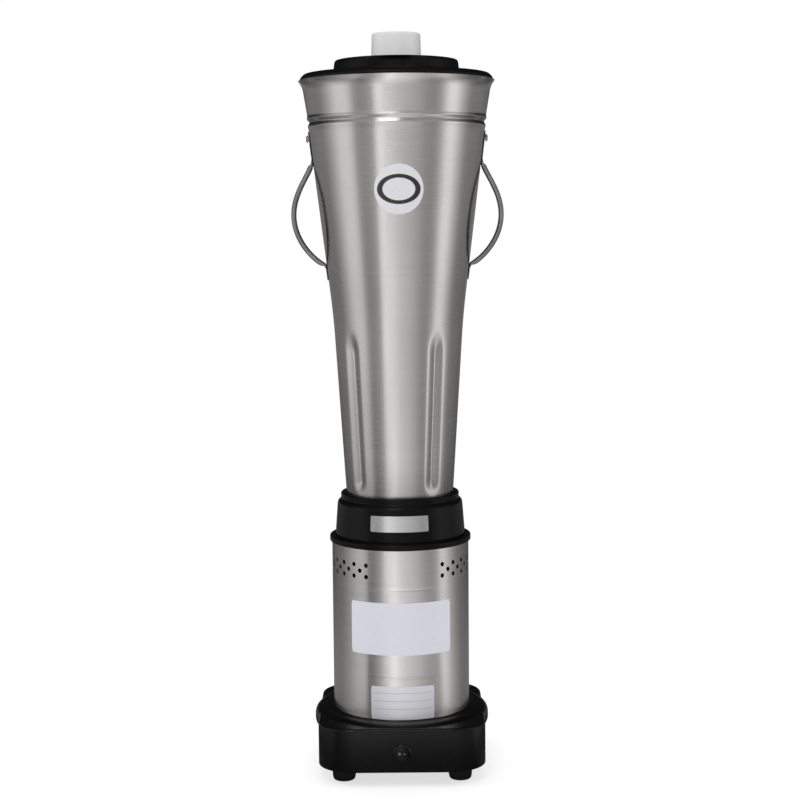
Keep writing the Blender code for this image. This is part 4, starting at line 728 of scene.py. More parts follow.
CORNER_SIZES = {"Spacing": FOOT_SPACING, "Height": 0.0}


def corner_shape():
    """Repeats a piece at the four corners of a square about the axis."""
    graph, given = start_shape("corners", CORNER_SIZES)
    grid = graph.shape("MeshGrid", Size_X=given["Spacing"], Size_Y=given["Spacing"],
                       Vertices_X=2, Vertices_Y=2)
    lifted = graph.shape("SetPosition", Geometry=grid,
                         Offset=graph.join(0.0, 0.0, given["Height"]))
    copies = graph.shape("InstanceOnPoints", Points=lifted, Instance=given["Geometry"])
    return end_shape(graph, copies, given)


RING_SIZES = {"Count": 3, "Radius": 42.0 * MM, "Height": 0.0, "Turn": math.radians(90.0)}


def ring_shape():
    """Repeats a piece round the axis, each copy turned with its place."""
    graph, given = start_shape("ring", RING_SIZES)
    points = graph.shape("Points", Count=given["Count"])
    angle = graph.shape("InputIndex") * (math.tau / given["Count"]) + given["Turn"]
    place = graph.join(given["Radius"] * graph.math("COSINE", angle),
                       given["Radius"] * graph.math("SINE", angle), given["Height"])
    placed = graph.shape("SetPosition", Geometry=points, Position=place)
    copies = graph.shape("InstanceOnPoints", Points=placed, Instance=given["Geometry"],
                         Rotation=graph.join(0.0, 0.0, angle))
    return end_shape(graph, copies, given)


SLOT_SIZES = {
    "Count": 6, "Length": 52.0 * MM, "Width": 4.0 * MM, "Pitch": 10.5 * MM, "First": -40.0 * MM,
    "Height": 19.0 * MM, "Cut depth": 9.0 * MM,
}


def slot_shape():
    """Cuts a row of slots through a plate."""
    graph, given = start_shape("slots", SLOT_SIZES)
    points = graph.shape("Points", Count=given["Count"])
    number = graph.shape("InputIndex")
    place = graph.join(0.0, given["First"] + number * given["Pitch"], given["Height"])
    placed = graph.shape("SetPosition", Geometry=points, Position=place)
    block = graph.shape("MeshCube", Size=graph.join(
        given["Length"], given["Width"], given["Cut depth"]))
    blocks = graph.shape("InstanceOnPoints", Points=placed, Instance=block)
    return holed(graph, given, blocks)


corners = corner_shape()
ring = ring_shape()


# Jar and what it carries

def jar_corners():
    """Outside of the jar from the rim down, as corners with their roundings."""
    slope = (99.6 * MM - KNEE_RADIUS) / (733.0 * MM - KNEE)
    return [
        (RIM_RADIUS, RIM_TOP), (RIM_RADIUS - 3.3 * MM, RIM_TOP - 4.7 * MM, 2.5 * MM),
        (106.0 * MM, RIM_TOP - 9.6 * MM, 4.0 * MM), (101.2 * MM, BAND_FOOT, 3.0 * MM),
        (102.0 * MM, 746.4 * MM, 1.1 * MM), (98.7 * MM, 742.6 * MM, 1.1 * MM),
        (BEAD_RADIUS, 738.6 * MM, 1.5 * MM), (99.6 * MM, 733.0 * MM, 4.0 * MM),
        (KNEE_RADIUS + slope * 4.0 * MM, KNEE + 4.0 * MM, 26.0 * MM),
        (JAR_FOOT_RADIUS, JAR_BOTTOM + 3.0 * MM, 4.5 * MM)]


def jar_radius(level):
    """Outer radius of the jar's plain wall at a level."""
    line = rounded_line(jar_corners(), 8)
    for (upper_radius, upper), (lower_radius, lower) in zip(line, line[1:]):
        if upper >= level >= lower and upper > lower:
            share = (level - lower) / (upper - lower)
            return lower_radius + share * (upper_radius - lower_radius)
    return RIM_RADIUS


def make_jar():
    """Thin fluted shell with a hemmed rim and a hole in its floor for the bearing."""
    neck = 13.1 * MM
    foot = JAR_BOTTOM
    outside = jar_corners()[:-1] + [(JAR_FOOT_RADIUS, foot, 4.8 * MM), (neck, foot)]
    outer = rounded_line(outside, 8)
    inner = [(radius - JAR_WALL * 1.02, height + 0.06 * MM) for radius, height in outer[:-1]
             if height > foot + 5.0 * MM]
    floor = foot + JAR_WALL
    inner += rounded_line([inner[-1], (JAR_FOOT_RADIUS - JAR_WALL, floor, 4.2 * MM),
        (neck, floor)], 8)[1:]
    hem = [(RIM_RADIUS - 0.5 * MM, RIM_TOP + 0.35 * MM)]
    line = divided(outer + inner[::-1] + hem, 3.4 * MM, closed=True)
    shell = turned_mesh("jar_shell", line, 336)
    mesh = smooth(grow(flute_shape(), shell, FLUTE_SIZES, "jar_steel"), 50.0)
    add_piece("jar_shell", mesh, "jar_unit", "jar_steel", ("jar",))


def make_jar_sticker():
    """Round white sticker with a plain oval ring, lying on the front of the jar."""
    middle = 666.0 * MM
    beside = 1.8 * MM
    radius = 27.3 * MM
    spokes = 72
    rings_per_side = 10

    def on_jar(across, up, lift):
        wall = jar_radius(middle + up)
        angle = (across + beside) / wall - math.pi / 2
        return ((wall + lift) * math.cos(angle), (wall + lift) * math.sin(angle), middle + up)

    def disc(name, inner, outer, low, high, squash=1.0):
        """A thin ring or disc that follows the wall."""
        reaches = [inner + (outer - inner) * i / rings_per_side for i in range(rings_per_side + 1)]
        loops = [(reach, high) for reach in reversed(reaches)]
        loops += [(reach, low) for reach in reaches]
        angles = [math.tau * i / spokes for i in range(spokes)]
        return smooth(looped_mesh(name, [
            [on_jar(reach * math.cos(angle), reach * squash * math.sin(angle), lift)
             for angle in angles] for reach, lift in loops], SAME_POINT), 30.0)

    add_piece("jar_sticker", disc("jar_sticker", 0.0, radius, 0.05 * MM, 0.16 * MM),
              "jar_unit", "sticker_white")
    add_piece("jar_sticker_ring", disc("jar_sticker_ring", 18.0 * MM, 24.0 * MM, 0.17 * MM,
                                       0.20 * MM, 0.68), "jar_unit", "label_ink")


def make_handles():
    """Bowed strap handles whose thin tabs lie on the jar, with round-headed rivets."""
    top = 694.6 * MM
    grip = 631.6 * MM
    foot = 582.6 * MM
    tab = 0.55 * MM
    bar = 2.85 * MM
    half_width = 8.0 * MM
    bow = 27.3 * MM
    gap = 0.2 * MM
    start = jar_radius(top) + gap + bar
    end = jar_radius(foot) + gap + bar

    def on_wall(level, width):
        return (jar_radius(level) + gap + tab, level, tab, width)

    stations = []
    for drop in (0.0, 0.6, 1.6, 3.0, 5.0, 8.0, 14.0, 20.0, 26.0, 31.0):
        width = half_width * math.sqrt(max(0.08, 1 - max(0.0, 1 - drop / 8.0) ** 2))
        stations.append(on_wall(732.6 * MM - drop * MM, width))
    upper_steps = 22
    lower_steps = 20
    for i in range(-upper_steps, lower_steps + 1):
        angle = math.pi / 2 * (i / upper_steps if i < 0 else i / lower_steps)
        level = grip - math.sin(angle) * (top - grip if i < 0 else grip - foot)
        ease = 2.6 if i < 0 else 1.6
        reach = bow * abs(math.cos(angle)) ** ease
        line = start + (end - start) * (top - level) / (top - foot)
        ends = min(i + upper_steps, lower_steps - i)
        thickness = tab + (bar - tab) * min(1.0, 0.45 + ends / 7)
        lean = bar - thickness if reach < 4.0 * MM else 0.0
        stations.append((line + reach - lean, level, thickness, half_width))
    for drop in (5.0, 8.0, 12.0, 15.0, 17.0, 18.0):
        width = half_width * math.sqrt(max(0.08, 1 - max(0.0, (drop - 10.0) / 8.0) ** 2))
        stations.append(on_wall(foot - drop * MM, width))
    corners_per_section = 20
    for name, side in (("left", -1), ("right", 1)):
        sections = []
        for i, (x, z, thickness, width) in enumerate(stations):
            before = stations[max(0, i - 1)]
            after = stations[min(len(stations) - 1, i + 1)]
            along = Vector((after[0] - before[0], 0.0, after[1] - before[1])).normalized()
            out = Vector((-along.z, 0.0, along.x))
            section = []
            for corner in range(corners_per_section):
                angle = math.tau * (corner + 0.5) / corners_per_section
                across = math.copysign(abs(math.cos(angle)) ** 0.45, math.cos(angle)) * width
                thick = math.copysign(abs(math.sin(angle)) ** 0.6, math.sin(angle)) * thickness
                point = Vector((x, across, z)) + out * thick
                section.append((side * point.x, point.y, point.z))
            sections.append(section)
        mesh = smooth(swept_mesh(name + "_strap", sections), 50.0)
        add_piece(name + "_strap", mesh, "jar_unit", "handle_steel", (name + "_handle",))
        wall = jar_radius(RIVET_LEVEL)
        head = rounded_line([(0.0, 4.5 * MM), (2.6 * MM, 4.4 * MM, 1.6 * MM),
                             (4.1 * MM, 3.2 * MM, 1.2 * MM), (4.1 * MM, 2.0 * MM, 0.4 * MM),
                             (2.0 * MM, 1.9 * MM), (2.0 * MM, -2.2 * MM), (3.8 * MM, -2.2 * MM),
                             (3.6 * MM, -3.0 * MM, 0.5 * MM), (0.0, -3.7 * MM)])
        rivet = smooth(turned_mesh(name + "_rivet", head, 32, closed=False))
        shifted(rivet, stood((side * wall, 0.0, RIVET_LEVEL), side * math.pi / 2, 'Y'))
        add_piece(name + "_rivet", rivet, "jar_unit", "screw_steel", (name + "_handle_rivet",))


def make_ring_nut():
    """Round nut on the floor of the jar, with flats for a spanner."""
    low = JAR_BOTTOM + JAR_WALL + 0.3 * MM
    high = low + 5.5 * MM
    line = rounded_line([(13.1 * MM, high), (20.4 * MM, high, 1.2 * MM),
        (20.9 * MM, low + 2.5 * MM, 1.0 * MM), (20.9 * MM, low), (13.1 * MM, low)])
    mesh = flattened(turned_mesh("ring_nut", line, 96), 17.0 * MM, 18.6 * MM)
    add_piece("ring_nut", mesh, "jar_unit", "blade_steel", ("bearing_ring_nut",))


def make_blade():
    """Four-winged blade with ground edges, under a cap nut."""
    bottom = 312.4 * MM
    thick = 2.4 * MM
    hub = 10.5 * MM
    bore = 4.3 * MM
    line = rounded_line([(bore, bottom + thick), (hub, bottom + thick, 0.3 * MM),
                         (hub, bottom, 0.3 * MM), (bore, bottom)])
    mesh = turned_mesh("cutting_blade", line, 64)
    wings = []
    reach_start = 7.9 * MM
    bend_start = 15.0 * MM
    tip = 43.8 * MM
    stations = 18
    for wing in range(4):
        bend = math.radians(24.0 if wing % 2 == 0 else -7.0)
        turn = Matrix.Rotation(math.pi / 2 * wing, 3, 'Z')
        rows = []
        for i in range(stations + 1):
            share = i / stations
            reach = reach_start + (tip - reach_start) * share
            width = (14.0 - 5.0 * share) * MM
            past = max(0.0, reach - bend_start)
            level = bottom + thick / 2 + math.tan(bend) * past * min(1.0, past / (4 * MM))
            back = -width / 2 - 3.0 * MM * share
            half = thick * 0.42
            edge = 0.25 * MM
            outline = [(back, -half), (back + 0.62 * width, -half), (back + width, -edge),
                       (back + width, edge), (back + 0.62 * width, half), (back, half)]
            rows.append([turn @ Vector((reach, y, level + z)) for y, z in outline])
        wings.append(swept_mesh("wing", rows))
    mesh = cut(mesh, joined_mesh("wings", wings), 'UNION', 25.0)
    add_piece("cutting_blade", mesh, "blade_unit", "blade_steel", ("blade",))
    low = bottom + thick + 0.3 * MM
    high = low + 11.5 * MM
    nut = rounded_line([(0.0, high), (5.6 * MM, high - 2.0 * MM, 4.0 * MM),
                        (6.6 * MM, low + 6.0 * MM, 0.8 * MM), (8.0 * MM, low + 5.4 * MM, 0.5 * MM),
                        (8.0 * MM, low), (bore, low), (bore, 322.4 * MM), (0.0, 322.4 * MM)])
    mesh = flattened(turned_mesh("blade_cap_nut", nut, 72, closed=False), 6.7 * MM, 7.0 * MM)
    add_piece("blade_cap_nut", mesh, "blade_unit", "blade_steel", ("blade_nut",))


def make_lid():
    """Black lid: flat flange with a low ridge, plug in the jar's mouth, scalloped crown."""
    plug_foot = 770.6 * MM
    plug = jar_radius(plug_foot) - 2.4 * MM
    crown = 71.4 * MM
    under = LID_TOP - 3.0 * MM
    corners_of_lid = [
        (25.0 * MM, CROWN_TOP), (28.0 * MM, CROWN_TOP), (62.0 * MM, CROWN_TOP, 3.0 * MM),
        (69.0 * MM, CROWN_TOP - 0.9 * MM, 1.5 * MM), (70.2 * MM, CROWN_TOP - 3.6 * MM, 1.6 * MM),
        (crown, LID_TOP + 1.0 * MM, 1.2 * MM),
        (crown + 3.0 * MM, LID_TOP - 0.6 * MM, 1.2 * MM),
        (86.0 * MM, LID_TOP - 0.6 * MM, 0.6 * MM), (87.5 * MM, LID_TOP, 0.8 * MM),
        (90.5 * MM, LID_TOP, 0.8 * MM), (92.0 * MM, LID_TOP - 0.8 * MM, 0.6 * MM),
        (101.5 * MM, LID_TOP - 1.0 * MM, 0.6 * MM), (103.0 * MM, LID_TOP - 0.4 * MM, 0.6 * MM),
        (105.0 * MM, LID_TOP - 0.9 * MM, 1.8 * MM), (109.0 * MM, LID_TOP - 5.0 * MM, 1.6 * MM),
        (109.0 * MM, RIM_TOP + 0.4 * MM, 0.4 * MM),
        (jar_radius(RIM_TOP - 4.4 * MM) - 1.6 * MM, RIM_TOP - 4.4 * MM, 1.0 * MM),
        (jar_radius(RIM_TOP - 9.0 * MM) - 1.6 * MM, RIM_TOP - 9.0 * MM, 1.0 * MM),
        (plug, plug_foot, 0.6 * MM), (plug - 3.0 * MM, plug_foot, 0.6 * MM),
        (plug - 3.0 * MM, under, 2.0 * MM), (crown - 3.0 * MM, under, 0.8 * MM),
        (crown - 3.0 * MM, CROWN_TOP - 3.0 * MM, 2.0 * MM),
        (28.0 * MM, CROWN_TOP - 3.0 * MM, 0.6 * MM), (28.0 * MM, 799.3 * MM, 0.6 * MM),
        (25.0 * MM, 799.3 * MM, 0.6 * MM)]
    line = divided(rounded_line(corners_of_lid, 5, closed=True), 3.0 * MM, closed=True)
    mesh = turned_mesh("lid_moulding", line, 288)
    depth = 13.0 * MM
    half_angle = math.radians(27.0)
    for vertex in mesh.vertices:
        x, y, z = vertex.co
        radius = math.hypot(x, y)
        reach = (radius - (crown - 10.0 * MM)) / (8.5 * MM)
        outside = (crown + 6.5 * MM - radius) / (6.0 * MM)
        near = min(1.0, max(0.0, reach)) * min(1.0, max(0.0, outside))
        if near == 0.0:
            continue
        angle = math.atan2(y, x)
        third = math.tau / 3
        turn = abs((angle + math.pi / 2 + third / 2) % third - third / 2) / half_angle
        if turn < 1.0:
            radius -= depth * near * (1 - turn ** 4) ** 1.2
        vertex.co = (radius * math.cos(angle), radius * math.sin(angle), z)
    add_piece("lid_moulding", smooth(mesh, 40.0), "lid_unit", "lid_rubber", ("lid",))


def make_cap():
    """White cap, hollow and open below."""
    foot = CROWN_TOP + 0.3 * MM
    line = rounded_line([
        (0.0, CAP_TOP), (27.4 * MM, CAP_TOP, 2.6 * MM), (28.2 * MM, foot + 1.4 * MM, 0.5 * MM),
        (28.4 * MM, foot, 0.3 * MM), (24.6 * MM, foot), (24.2 * MM, 790.6 * MM, 0.8 * MM),
        (22.6 * MM, 790.6 * MM, 0.5 * MM), (22.6 * MM, CAP_TOP - 2.4 * MM, 2.0 * MM),
        (0.0, CAP_TOP - 2.0 * MM)], 6)
    mesh = smooth(turned_mesh("white_cap", divided(line, 6.0 * MM), 144, closed=False))
    add_piece("white_cap", mesh, "cap_unit", "cap_white", ("lid_cap",))


# Collar, housing and base

def make_collar():
    """Black collar: rolled lip, round shoulder, cone, groove and flange over the housing."""
    cup = 62.4 * MM
    skirt = 77.6 * MM
    line = rounded_line([
        (cup, COLLAR_TOP, 0.8 * MM), (68.4 * MM, COLLAR_TOP, 3.0 * MM),
        (67.9 * MM, 314.0 * MM, 1.6 * MM), (71.9 * MM, 310.8 * MM, 4.0 * MM),
        (SHOULDER_RADIUS, SHOULDER, 3.0 * MM), (CONE_RADIUS, FLANGE_TOP + 2.2 * MM, 1.0 * MM),
        (CONE_RADIUS - 0.2 * MM, FLANGE_TOP - 0.9 * MM, 0.6 * MM),
        (77.4 * MM, FLANGE_TOP - 0.5 * MM, 0.6 * MM),
        (78.6 * MM, FLANGE_TOP, 0.8 * MM), (81.5 * MM, FLANGE_TOP - 0.6 * MM, 2.6 * MM),
        (81.5 * MM, FLANGE_BOTTOM + 0.6 * MM, 2.2 * MM), (79.3 * MM, FLANGE_BOTTOM),
        (79.3 * MM, TUBE_TOP + 0.3 * MM), (skirt, TUBE_TOP + 0.3 * MM),
        (skirt, TUBE_TOP - 7.0 * MM), (skirt - 3.0 * MM, TUBE_TOP - 7.0 * MM),
        (skirt - 3.0 * MM, TUBE_TOP + 0.5 * MM), (69.9 * MM, SHOULDER),
        (cup + 3.0 * MM, 306.0 * MM), (cup + 3.0 * MM, 290.0 * MM), (34.0 * MM, 290.0 * MM),
        (34.0 * MM, CUP_FLOOR, 0.8 * MM), (cup, CUP_FLOOR, 2.0 * MM)], 6, closed=True)
    mesh = turned_mesh("collar_moulding", line, 192)
    shape = bmesh.new()
    add_rod(shape, 2.4 * MM, 9.0 * MM, 24)
    sizes = dict(RING_SIZES, Height=CUP_FLOOR - 1.5 * MM)
    mesh = cut(mesh, grow(ring, mesh_from("drill", shape), sizes, "screw_steel"))
    add_piece("collar_moulding", mesh, "base_unit", "collar_black", ("collar",))

    ring_line = rounded_line([(50.5 * MM, 297.3 * MM, 0.6 * MM),
        (60.5 * MM, 297.3 * MM, 0.6 * MM), (60.5 * MM, 293.3 * MM, 0.4 * MM),
        (50.5 * MM, 293.3 * MM, 0.4 * MM)], 3, closed=True)
    add_piece("jar_seat", smooth(turned_mesh("jar_seat", ring_line, 128)), "base_unit",
              "foot_rubber", ("seat_ring",))

    screws = grow(ring, screw_mesh(14.0 * MM, head_up=True),
                  dict(RING_SIZES, Height=CUP_FLOOR + 0.3 * MM), "screw_steel")
    add_piece("collar_screws", smooth(screws), "base_unit", "screw_steel",
              ("collar_screw_1", "collar_screw_2", "collar_screw_3"))


def screw_mesh(length, head_up):
    """Pan-head screw with a cross recess. Its head's underside is at Z 0."""
    line = rounded_line([(0.0, 2.6 * MM), (2.9 * MM, 2.45 * MM, 1.4 * MM),
                         (4.2 * MM, 0.9 * MM, 0.9 * MM), (4.2 * MM, 0.0, 0.2 * MM),
                         (2.1 * MM, 0.0), (2.1 * MM, -length + 0.8 * MM), (1.4 * MM, -length),
                         (0.0, -length)])
    mesh = turned_mesh("screw", line, 32, closed=False)
    for turn in (0.0, math.pi / 2):
        shape = bmesh.new()
        add_block(shape, (4.0 * MM, 0.8 * MM, 2.0 * MM), stood((0.0, 0.0, 2.3 * MM), turn, 'Z'))
        mesh = cut(mesh, mesh_from("slot", shape))
    if not head_up:
        mesh.transform(Matrix.Rotation(math.pi, 4, 'X'))
    return mesh


CREASE_LEVELS = (219.9 * MM, 118.8 * MM)
CREASE_REACH = 2.0 * MM
CREASE_DEPTH = 0.16 * MM


def crease(place):
    """Depth of the shallow creases across the front of the housing, and how it changes with Z."""
    turn = math.degrees(math.atan2(place.x, -place.y))
    share = min(1.0, max(0.0, (turn + 28.0) / 3.0)) * min(1.0, max(0.0, (35.0 - turn) / 8.0))
    for level in CREASE_LEVELS:
        rise = (place.z - level) / CREASE_REACH
        if abs(rise) < 1.0:
            depth = CREASE_DEPTH * share
            return (depth * (1 - rise * rise) ** 2,
                    depth * -4 * rise * (1 - rise * rise) / CREASE_REACH)
    return 0.0, 0.0


def make_housing():
    """Steel tube with its vents, shaded as a true cylinder with two faint creases."""
    inner = HOUSING_RADIUS - 1.0 * MM
    line = [(HOUSING_RADIUS - 0.1 * MM, TUBE_TOP), (HOUSING_RADIUS, TUBE_TOP - 0.2 * MM)]
    for level in CREASE_LEVELS:
        line += [(HOUSING_RADIUS, level - CREASE_REACH * step / 4) for step in range(-4, 5)]
    line += [(HOUSING_RADIUS, TUBE_BOTTOM + 0.3 * MM), (HOUSING_RADIUS - 0.2 * MM, TUBE_BOTTOM),
             (inner, TUBE_BOTTOM), (inner, TUBE_TOP)]
    tube = turned_mesh("housing_tube", line, 192)
    mesh = smooth(grow(vent_shape(), tube, VENT_SIZES, "housing_steel"), 25.0)
    for vertex in mesh.vertices:
        radius = math.hypot(vertex.co.x, vertex.co.y)
        if radius > HOUSING_RADIUS - 0.5 * MM:
            share = 1 - crease(vertex.co)[0] / radius
            vertex.co.x *= share
            vertex.co.y *= share
    normals = []
    for face in mesh.polygons:
        wall = abs(face.normal.z) < 0.25
        for index in face.vertices:
            place = mesh.vertices[index].co
            radial = Vector((place.x, place.y, 0.0)).normalized()
            lean = face.normal.dot(radial)
            if wall and lean > 0.96:
                normals.append((radial + Vector((0.0, 0.0, crease(place)[1]))).normalized())
            elif wall and lean < -0.98:
                normals.append(-radial)
            else:
                normals.append(face.normal.copy())
    mesh.normals_split_custom_set(normals)
    add_piece("housing_tube", mesh, "base_unit", "housing_steel", ("motor_housing",))


def patch_mesh(name, radius_low, radius_high, low, high, chord, turn, lift, thickness, corner):
    """Thin plate with rounded corners that lies on the front of a round wall."""
    columns = 48
    rows = 14
    half = math.asin(chord / 2 / ((radius_low + radius_high) / 2))
    points = []
    for layer in (lift + thickness, lift):
        for row in range(rows + 1):
            share = row / rows
            height = low + (high - low) * share
            near = min(height - low, high - height)
            cut_in = corner - math.sqrt(max(0.0, corner ** 2 - max(0.0, corner - near) ** 2))
            radius = radius_low + (radius_high - radius_low) * share + layer
            reach = half - cut_in / radius
            for column in range(columns + 1):
                angle = turn - math.pi / 2 + reach * (2 * column / columns - 1)
                points.append((radius * math.cos(angle), radius * math.sin(angle), height))
    width = columns + 1
    layer_size = width * (rows + 1)
    faces = []
    for row in range(rows):
        for column in range(columns):
            a = row * width + column
            faces.append((a, a + 1, a + width + 1, a + width))
            b = a + layer_size
            faces.append((b, b + width, b + width + 1, b + 1))
    rim = list(range(columns))
    rim += [row * width + columns for row in range(rows)]
    rim += [rows * width + column for column in range(columns, 0, -1)]
    rim += [row * width for row in range(rows, 0, -1)]
    for here, after in zip(rim, rim[1:] + rim[:1]):
        faces.append((after, here, here + layer_size, after + layer_size))
    return smooth(outward(point_mesh(name, points, faces)), 30.0)


def make_plates():
    """Bare labels: a white and a silver one on the housing, and a steel plate on the collar."""
    housing = HOUSING_RADIUS
    for name, low, high, chord, turn, thickness, corner, finish, slot in (
            ("front_label", 145.4, 205.0, 111.0, -0.2, 0.14, 1.5, "white_label", "white_plastic"),
            ("rating_label", 71.6, 109.4, 71.0, 1.0, 0.12, 1.0, "silver_label", "steel")):
        patch = patch_mesh(name, housing, housing, low * MM, high * MM, chord * MM,
                           math.radians(turn), 0.03 * MM, thickness * MM, corner * MM)
        add_piece(name, patch, "base_unit", finish)
    lines = []
    for level in (101.5, 92.5, 83.5):
        lines.append(patch_mesh("line", housing, housing, level * MM, (level + 0.45) * MM,
                                65.0 * MM, math.radians(1.0), 0.155 * MM, 0.02 * MM, 0.05 * MM))
    add_piece("rating_label_lines", joined_mesh("rating_label_lines", lines), "base_unit",
              "grey_ink")
    low, high = 284.8 * MM, 302.7 * MM
    share = (SHOULDER - low) / (SHOULDER - FLANGE_TOP - 2.2 * MM)
    wall_low = SHOULDER_RADIUS + share * (CONE_RADIUS - SHOULDER_RADIUS)
    add_piece("collar_plate", patch_mesh("collar_plate", wall_low, SHOULDER_RADIUS + 0.1 * MM,
        low, high, 64.4 * MM, math.radians(-0.7), 0.05 * MM, 0.4 * MM, 0.7 * MM), "base_unit",
        "metal_plate")


def make_base():
    """Black base: a rounded square box joined by a round bulge under the housing."""
    edge = 3.2 * MM
    levels = [(edge, BASE_TOP)]
    for i in range(1, 9):
        angle = math.pi / 2 * i / 8
        levels.append((edge - edge * math.sin(angle), BASE_TOP - edge + edge * math.cos(angle)))
    levels += [(0.0, BASE_BOTTOM + 1.0 * MM), (0.3 * MM, BASE_BOTTOM + 0.3 * MM),
               (1.0 * MM, BASE_BOTTOM)]
    block = stacked_mesh("base_moulding", BASE_WIDTH, BASE_DEPTH, BASE_CORNER, levels)
    spigot = 77.7 * MM
    bulge_line = rounded_line([
        (spigot, 75.5 * MM), (spigot, BULGE_TOP), (BULGE_RADIUS, BULGE_TOP, 11.8 * MM),
        (BULGE_RADIUS, 47.5 * MM, 9.0 * MM), (44.0 * MM, 47.5 * MM), (44.0 * MM, BULGE_TOP),
        (spigot - 3.0 * MM, BULGE_TOP), (spigot - 3.0 * MM, 75.5 * MM)], 10, closed=True)
    mesh = cut(block, turned_mesh("bulge", bulge_line, 192), 'UNION')
    wall = 3.5 * MM
    hollow = stacked_mesh("hollow", BASE_WIDTH - 2 * wall, BASE_DEPTH - 2 * wall,
                          BASE_CORNER - wall, [(0.0, 63.5 * MM), (0.0, BASE_BOTTOM - wall)])
    mesh = cut(mesh, hollow)
    shape = bmesh.new()
    add_rod(shape, 44.3 * MM, 30.0 * MM, 96, Matrix.Translation((0.0, 0.0, 66.0 * MM)))
    for side, height, radius in ((-1, SWITCH_HEIGHT, 9.7 * MM), (1, GLAND_HEIGHT, 6.8 * MM)):
        add_rod(shape, radius, 14.0 * MM, 64,
                stood((0.0, side * BASE_DEPTH / 2, height), math.pi / 2))
    mesh = cut(mesh, mesh_from("openings", shape))
    add_piece("base_moulding", mesh, "base_unit", "base_black", ("base",))


def make_underside():
    """Slotted cover, rubber feet and their screws."""
    gap = 3.9 * MM
    plate = stacked_mesh("plate", BASE_WIDTH - 2 * gap, BASE_DEPTH - 2 * gap, BASE_CORNER - gap,
                         [(0.5 * MM, 20.5 * MM), (0.0, 20.0 * MM), (0.0, 18.0 * MM),
                          (0.5 * MM, BASE_BOTTOM)])
    mesh = grow(slot_shape(), plate, SLOT_SIZES, "base_black")
    add_piece("underside_cover", finished(mesh, [FLAT_KEPT]), "base_unit", None,
              ("bottom_cover",))
    names = ("front_left", "front_right", "rear_left", "rear_right")
    foot = rounded_line([
        (2.4 * MM, FOOT_TOP), (13.3 * MM, FOOT_TOP, 0.8 * MM), (13.3 * MM, 5.6 * MM, 1.8 * MM),
        (12.4 * MM, 1.4 * MM, 1.0 * MM), (10.8 * MM, 0.0, 1.2 * MM), (6.6 * MM, 0.0, 0.6 * MM),
        (6.6 * MM, 6.5 * MM, 0.8 * MM), (2.4 * MM, 6.5 * MM)], 5, closed=True)
    feet = grow(corners, turned_mesh("foot", foot, 64), CORNER_SIZES, "foot_rubber")
    add_piece("rubber_feet", smooth(feet), "base_unit", None,
              tuple(name + "_foot" for name in names))
    screws = grow(corners, screw_mesh(30.0 * MM, head_up=False),
                  {"Spacing": FOOT_SPACING, "Height": 6.2 * MM}, "screw_steel")
    add_piece("foot_screws", smooth(screws), "base_unit", "screw_steel",
              tuple(name + "_foot_screw" for name in names))


def make_switch():
    """Round rocker switch: a chamfered bezel, the dished rocker and its two marks."""
    place = (0.0, -BASE_DEPTH / 2, SWITCH_HEIGHT)
    line = rounded_line([
        (8.6 * MM, 2.3 * MM, 0.5 * MM), (9.6 * MM, 2.3 * MM, 0.4 * MM),
        (10.6 * MM, 1.2 * MM, 0.5 * MM), (10.6 * MM, 0.3 * MM), (9.4 * MM, 0.3 * MM),
        (9.4 * MM, -16.0 * MM), (0.0, -16.0 * MM)])
    bezel = turned_mesh("switch_ring", line + [(0.0, -14.0 * MM), (8.6 * MM, -14.0 * MM)], 96)
    add_piece("switch_ring", smooth(shifted(bezel, stood(place, math.pi / 2))), "base_unit",
              "switch_black", ("switch_bezel",))

    pivot = stood(place, ROCKER_TILT, 'Z')
    radius = 8.3 * MM
    face_radius = 18.3 * MM
    face = 2.4 * MM
    ball = bmesh.new()
    bmesh.ops.create_uvsphere(ball, u_segments=72, v_segments=48, radius=radius)
    tools = bmesh.new()
    add_rod(tools, face_radius, 5 * radius, 220,
            Matrix.Translation((0.0, -face - face_radius, 0.0)))
    add_block(tools, (4 * radius, 2 * radius, 4 * radius),
              Matrix.Translation((0.0, 4.2 * MM + radius, 0.0)))
    mesh = cut(mesh_from("switch_rocker_key", ball), mesh_from("rocker_tools", tools))
    add_piece("switch_rocker_key", shifted(mesh, pivot), "rocker_unit", "switch_black",
              ("switch_rocker",))

    def on_face(x, z, lift):
        """A point on the rocker's dished face."""
        sag = face_radius - math.sqrt(face_radius ** 2 - x ** 2)
        return (x, -face - sag - lift, z)

    paint = 0.06 * MM
    sunk = -0.05 * MM
    angles = [math.tau * i / 40 for i in range(40)]
    circle = looped_mesh("circle", [
        [on_face(-2.6 * MM + reach * math.cos(angle), reach * math.sin(angle), lift)
         for angle in angles]
        for reach, lift in ((1.35 * MM, paint), (1.35 * MM, sunk), (0.85 * MM, sunk),
                            (0.85 * MM, paint))])
    half_bar = 0.28 * MM
    bar = swept_mesh("bar", [
        [on_face((1.6 + 0.35 * i) * MM, z, lift)
         for z, lift in ((-half_bar, paint), (half_bar, paint), (half_bar, sunk),
                         (-half_bar, sunk))] for i in range(9)])
    marks = shifted(joined_mesh("switch_marks", [circle, bar]), pivot)
    add_piece("switch_marks", smooth(marks), "rocker_unit", "mark_white")


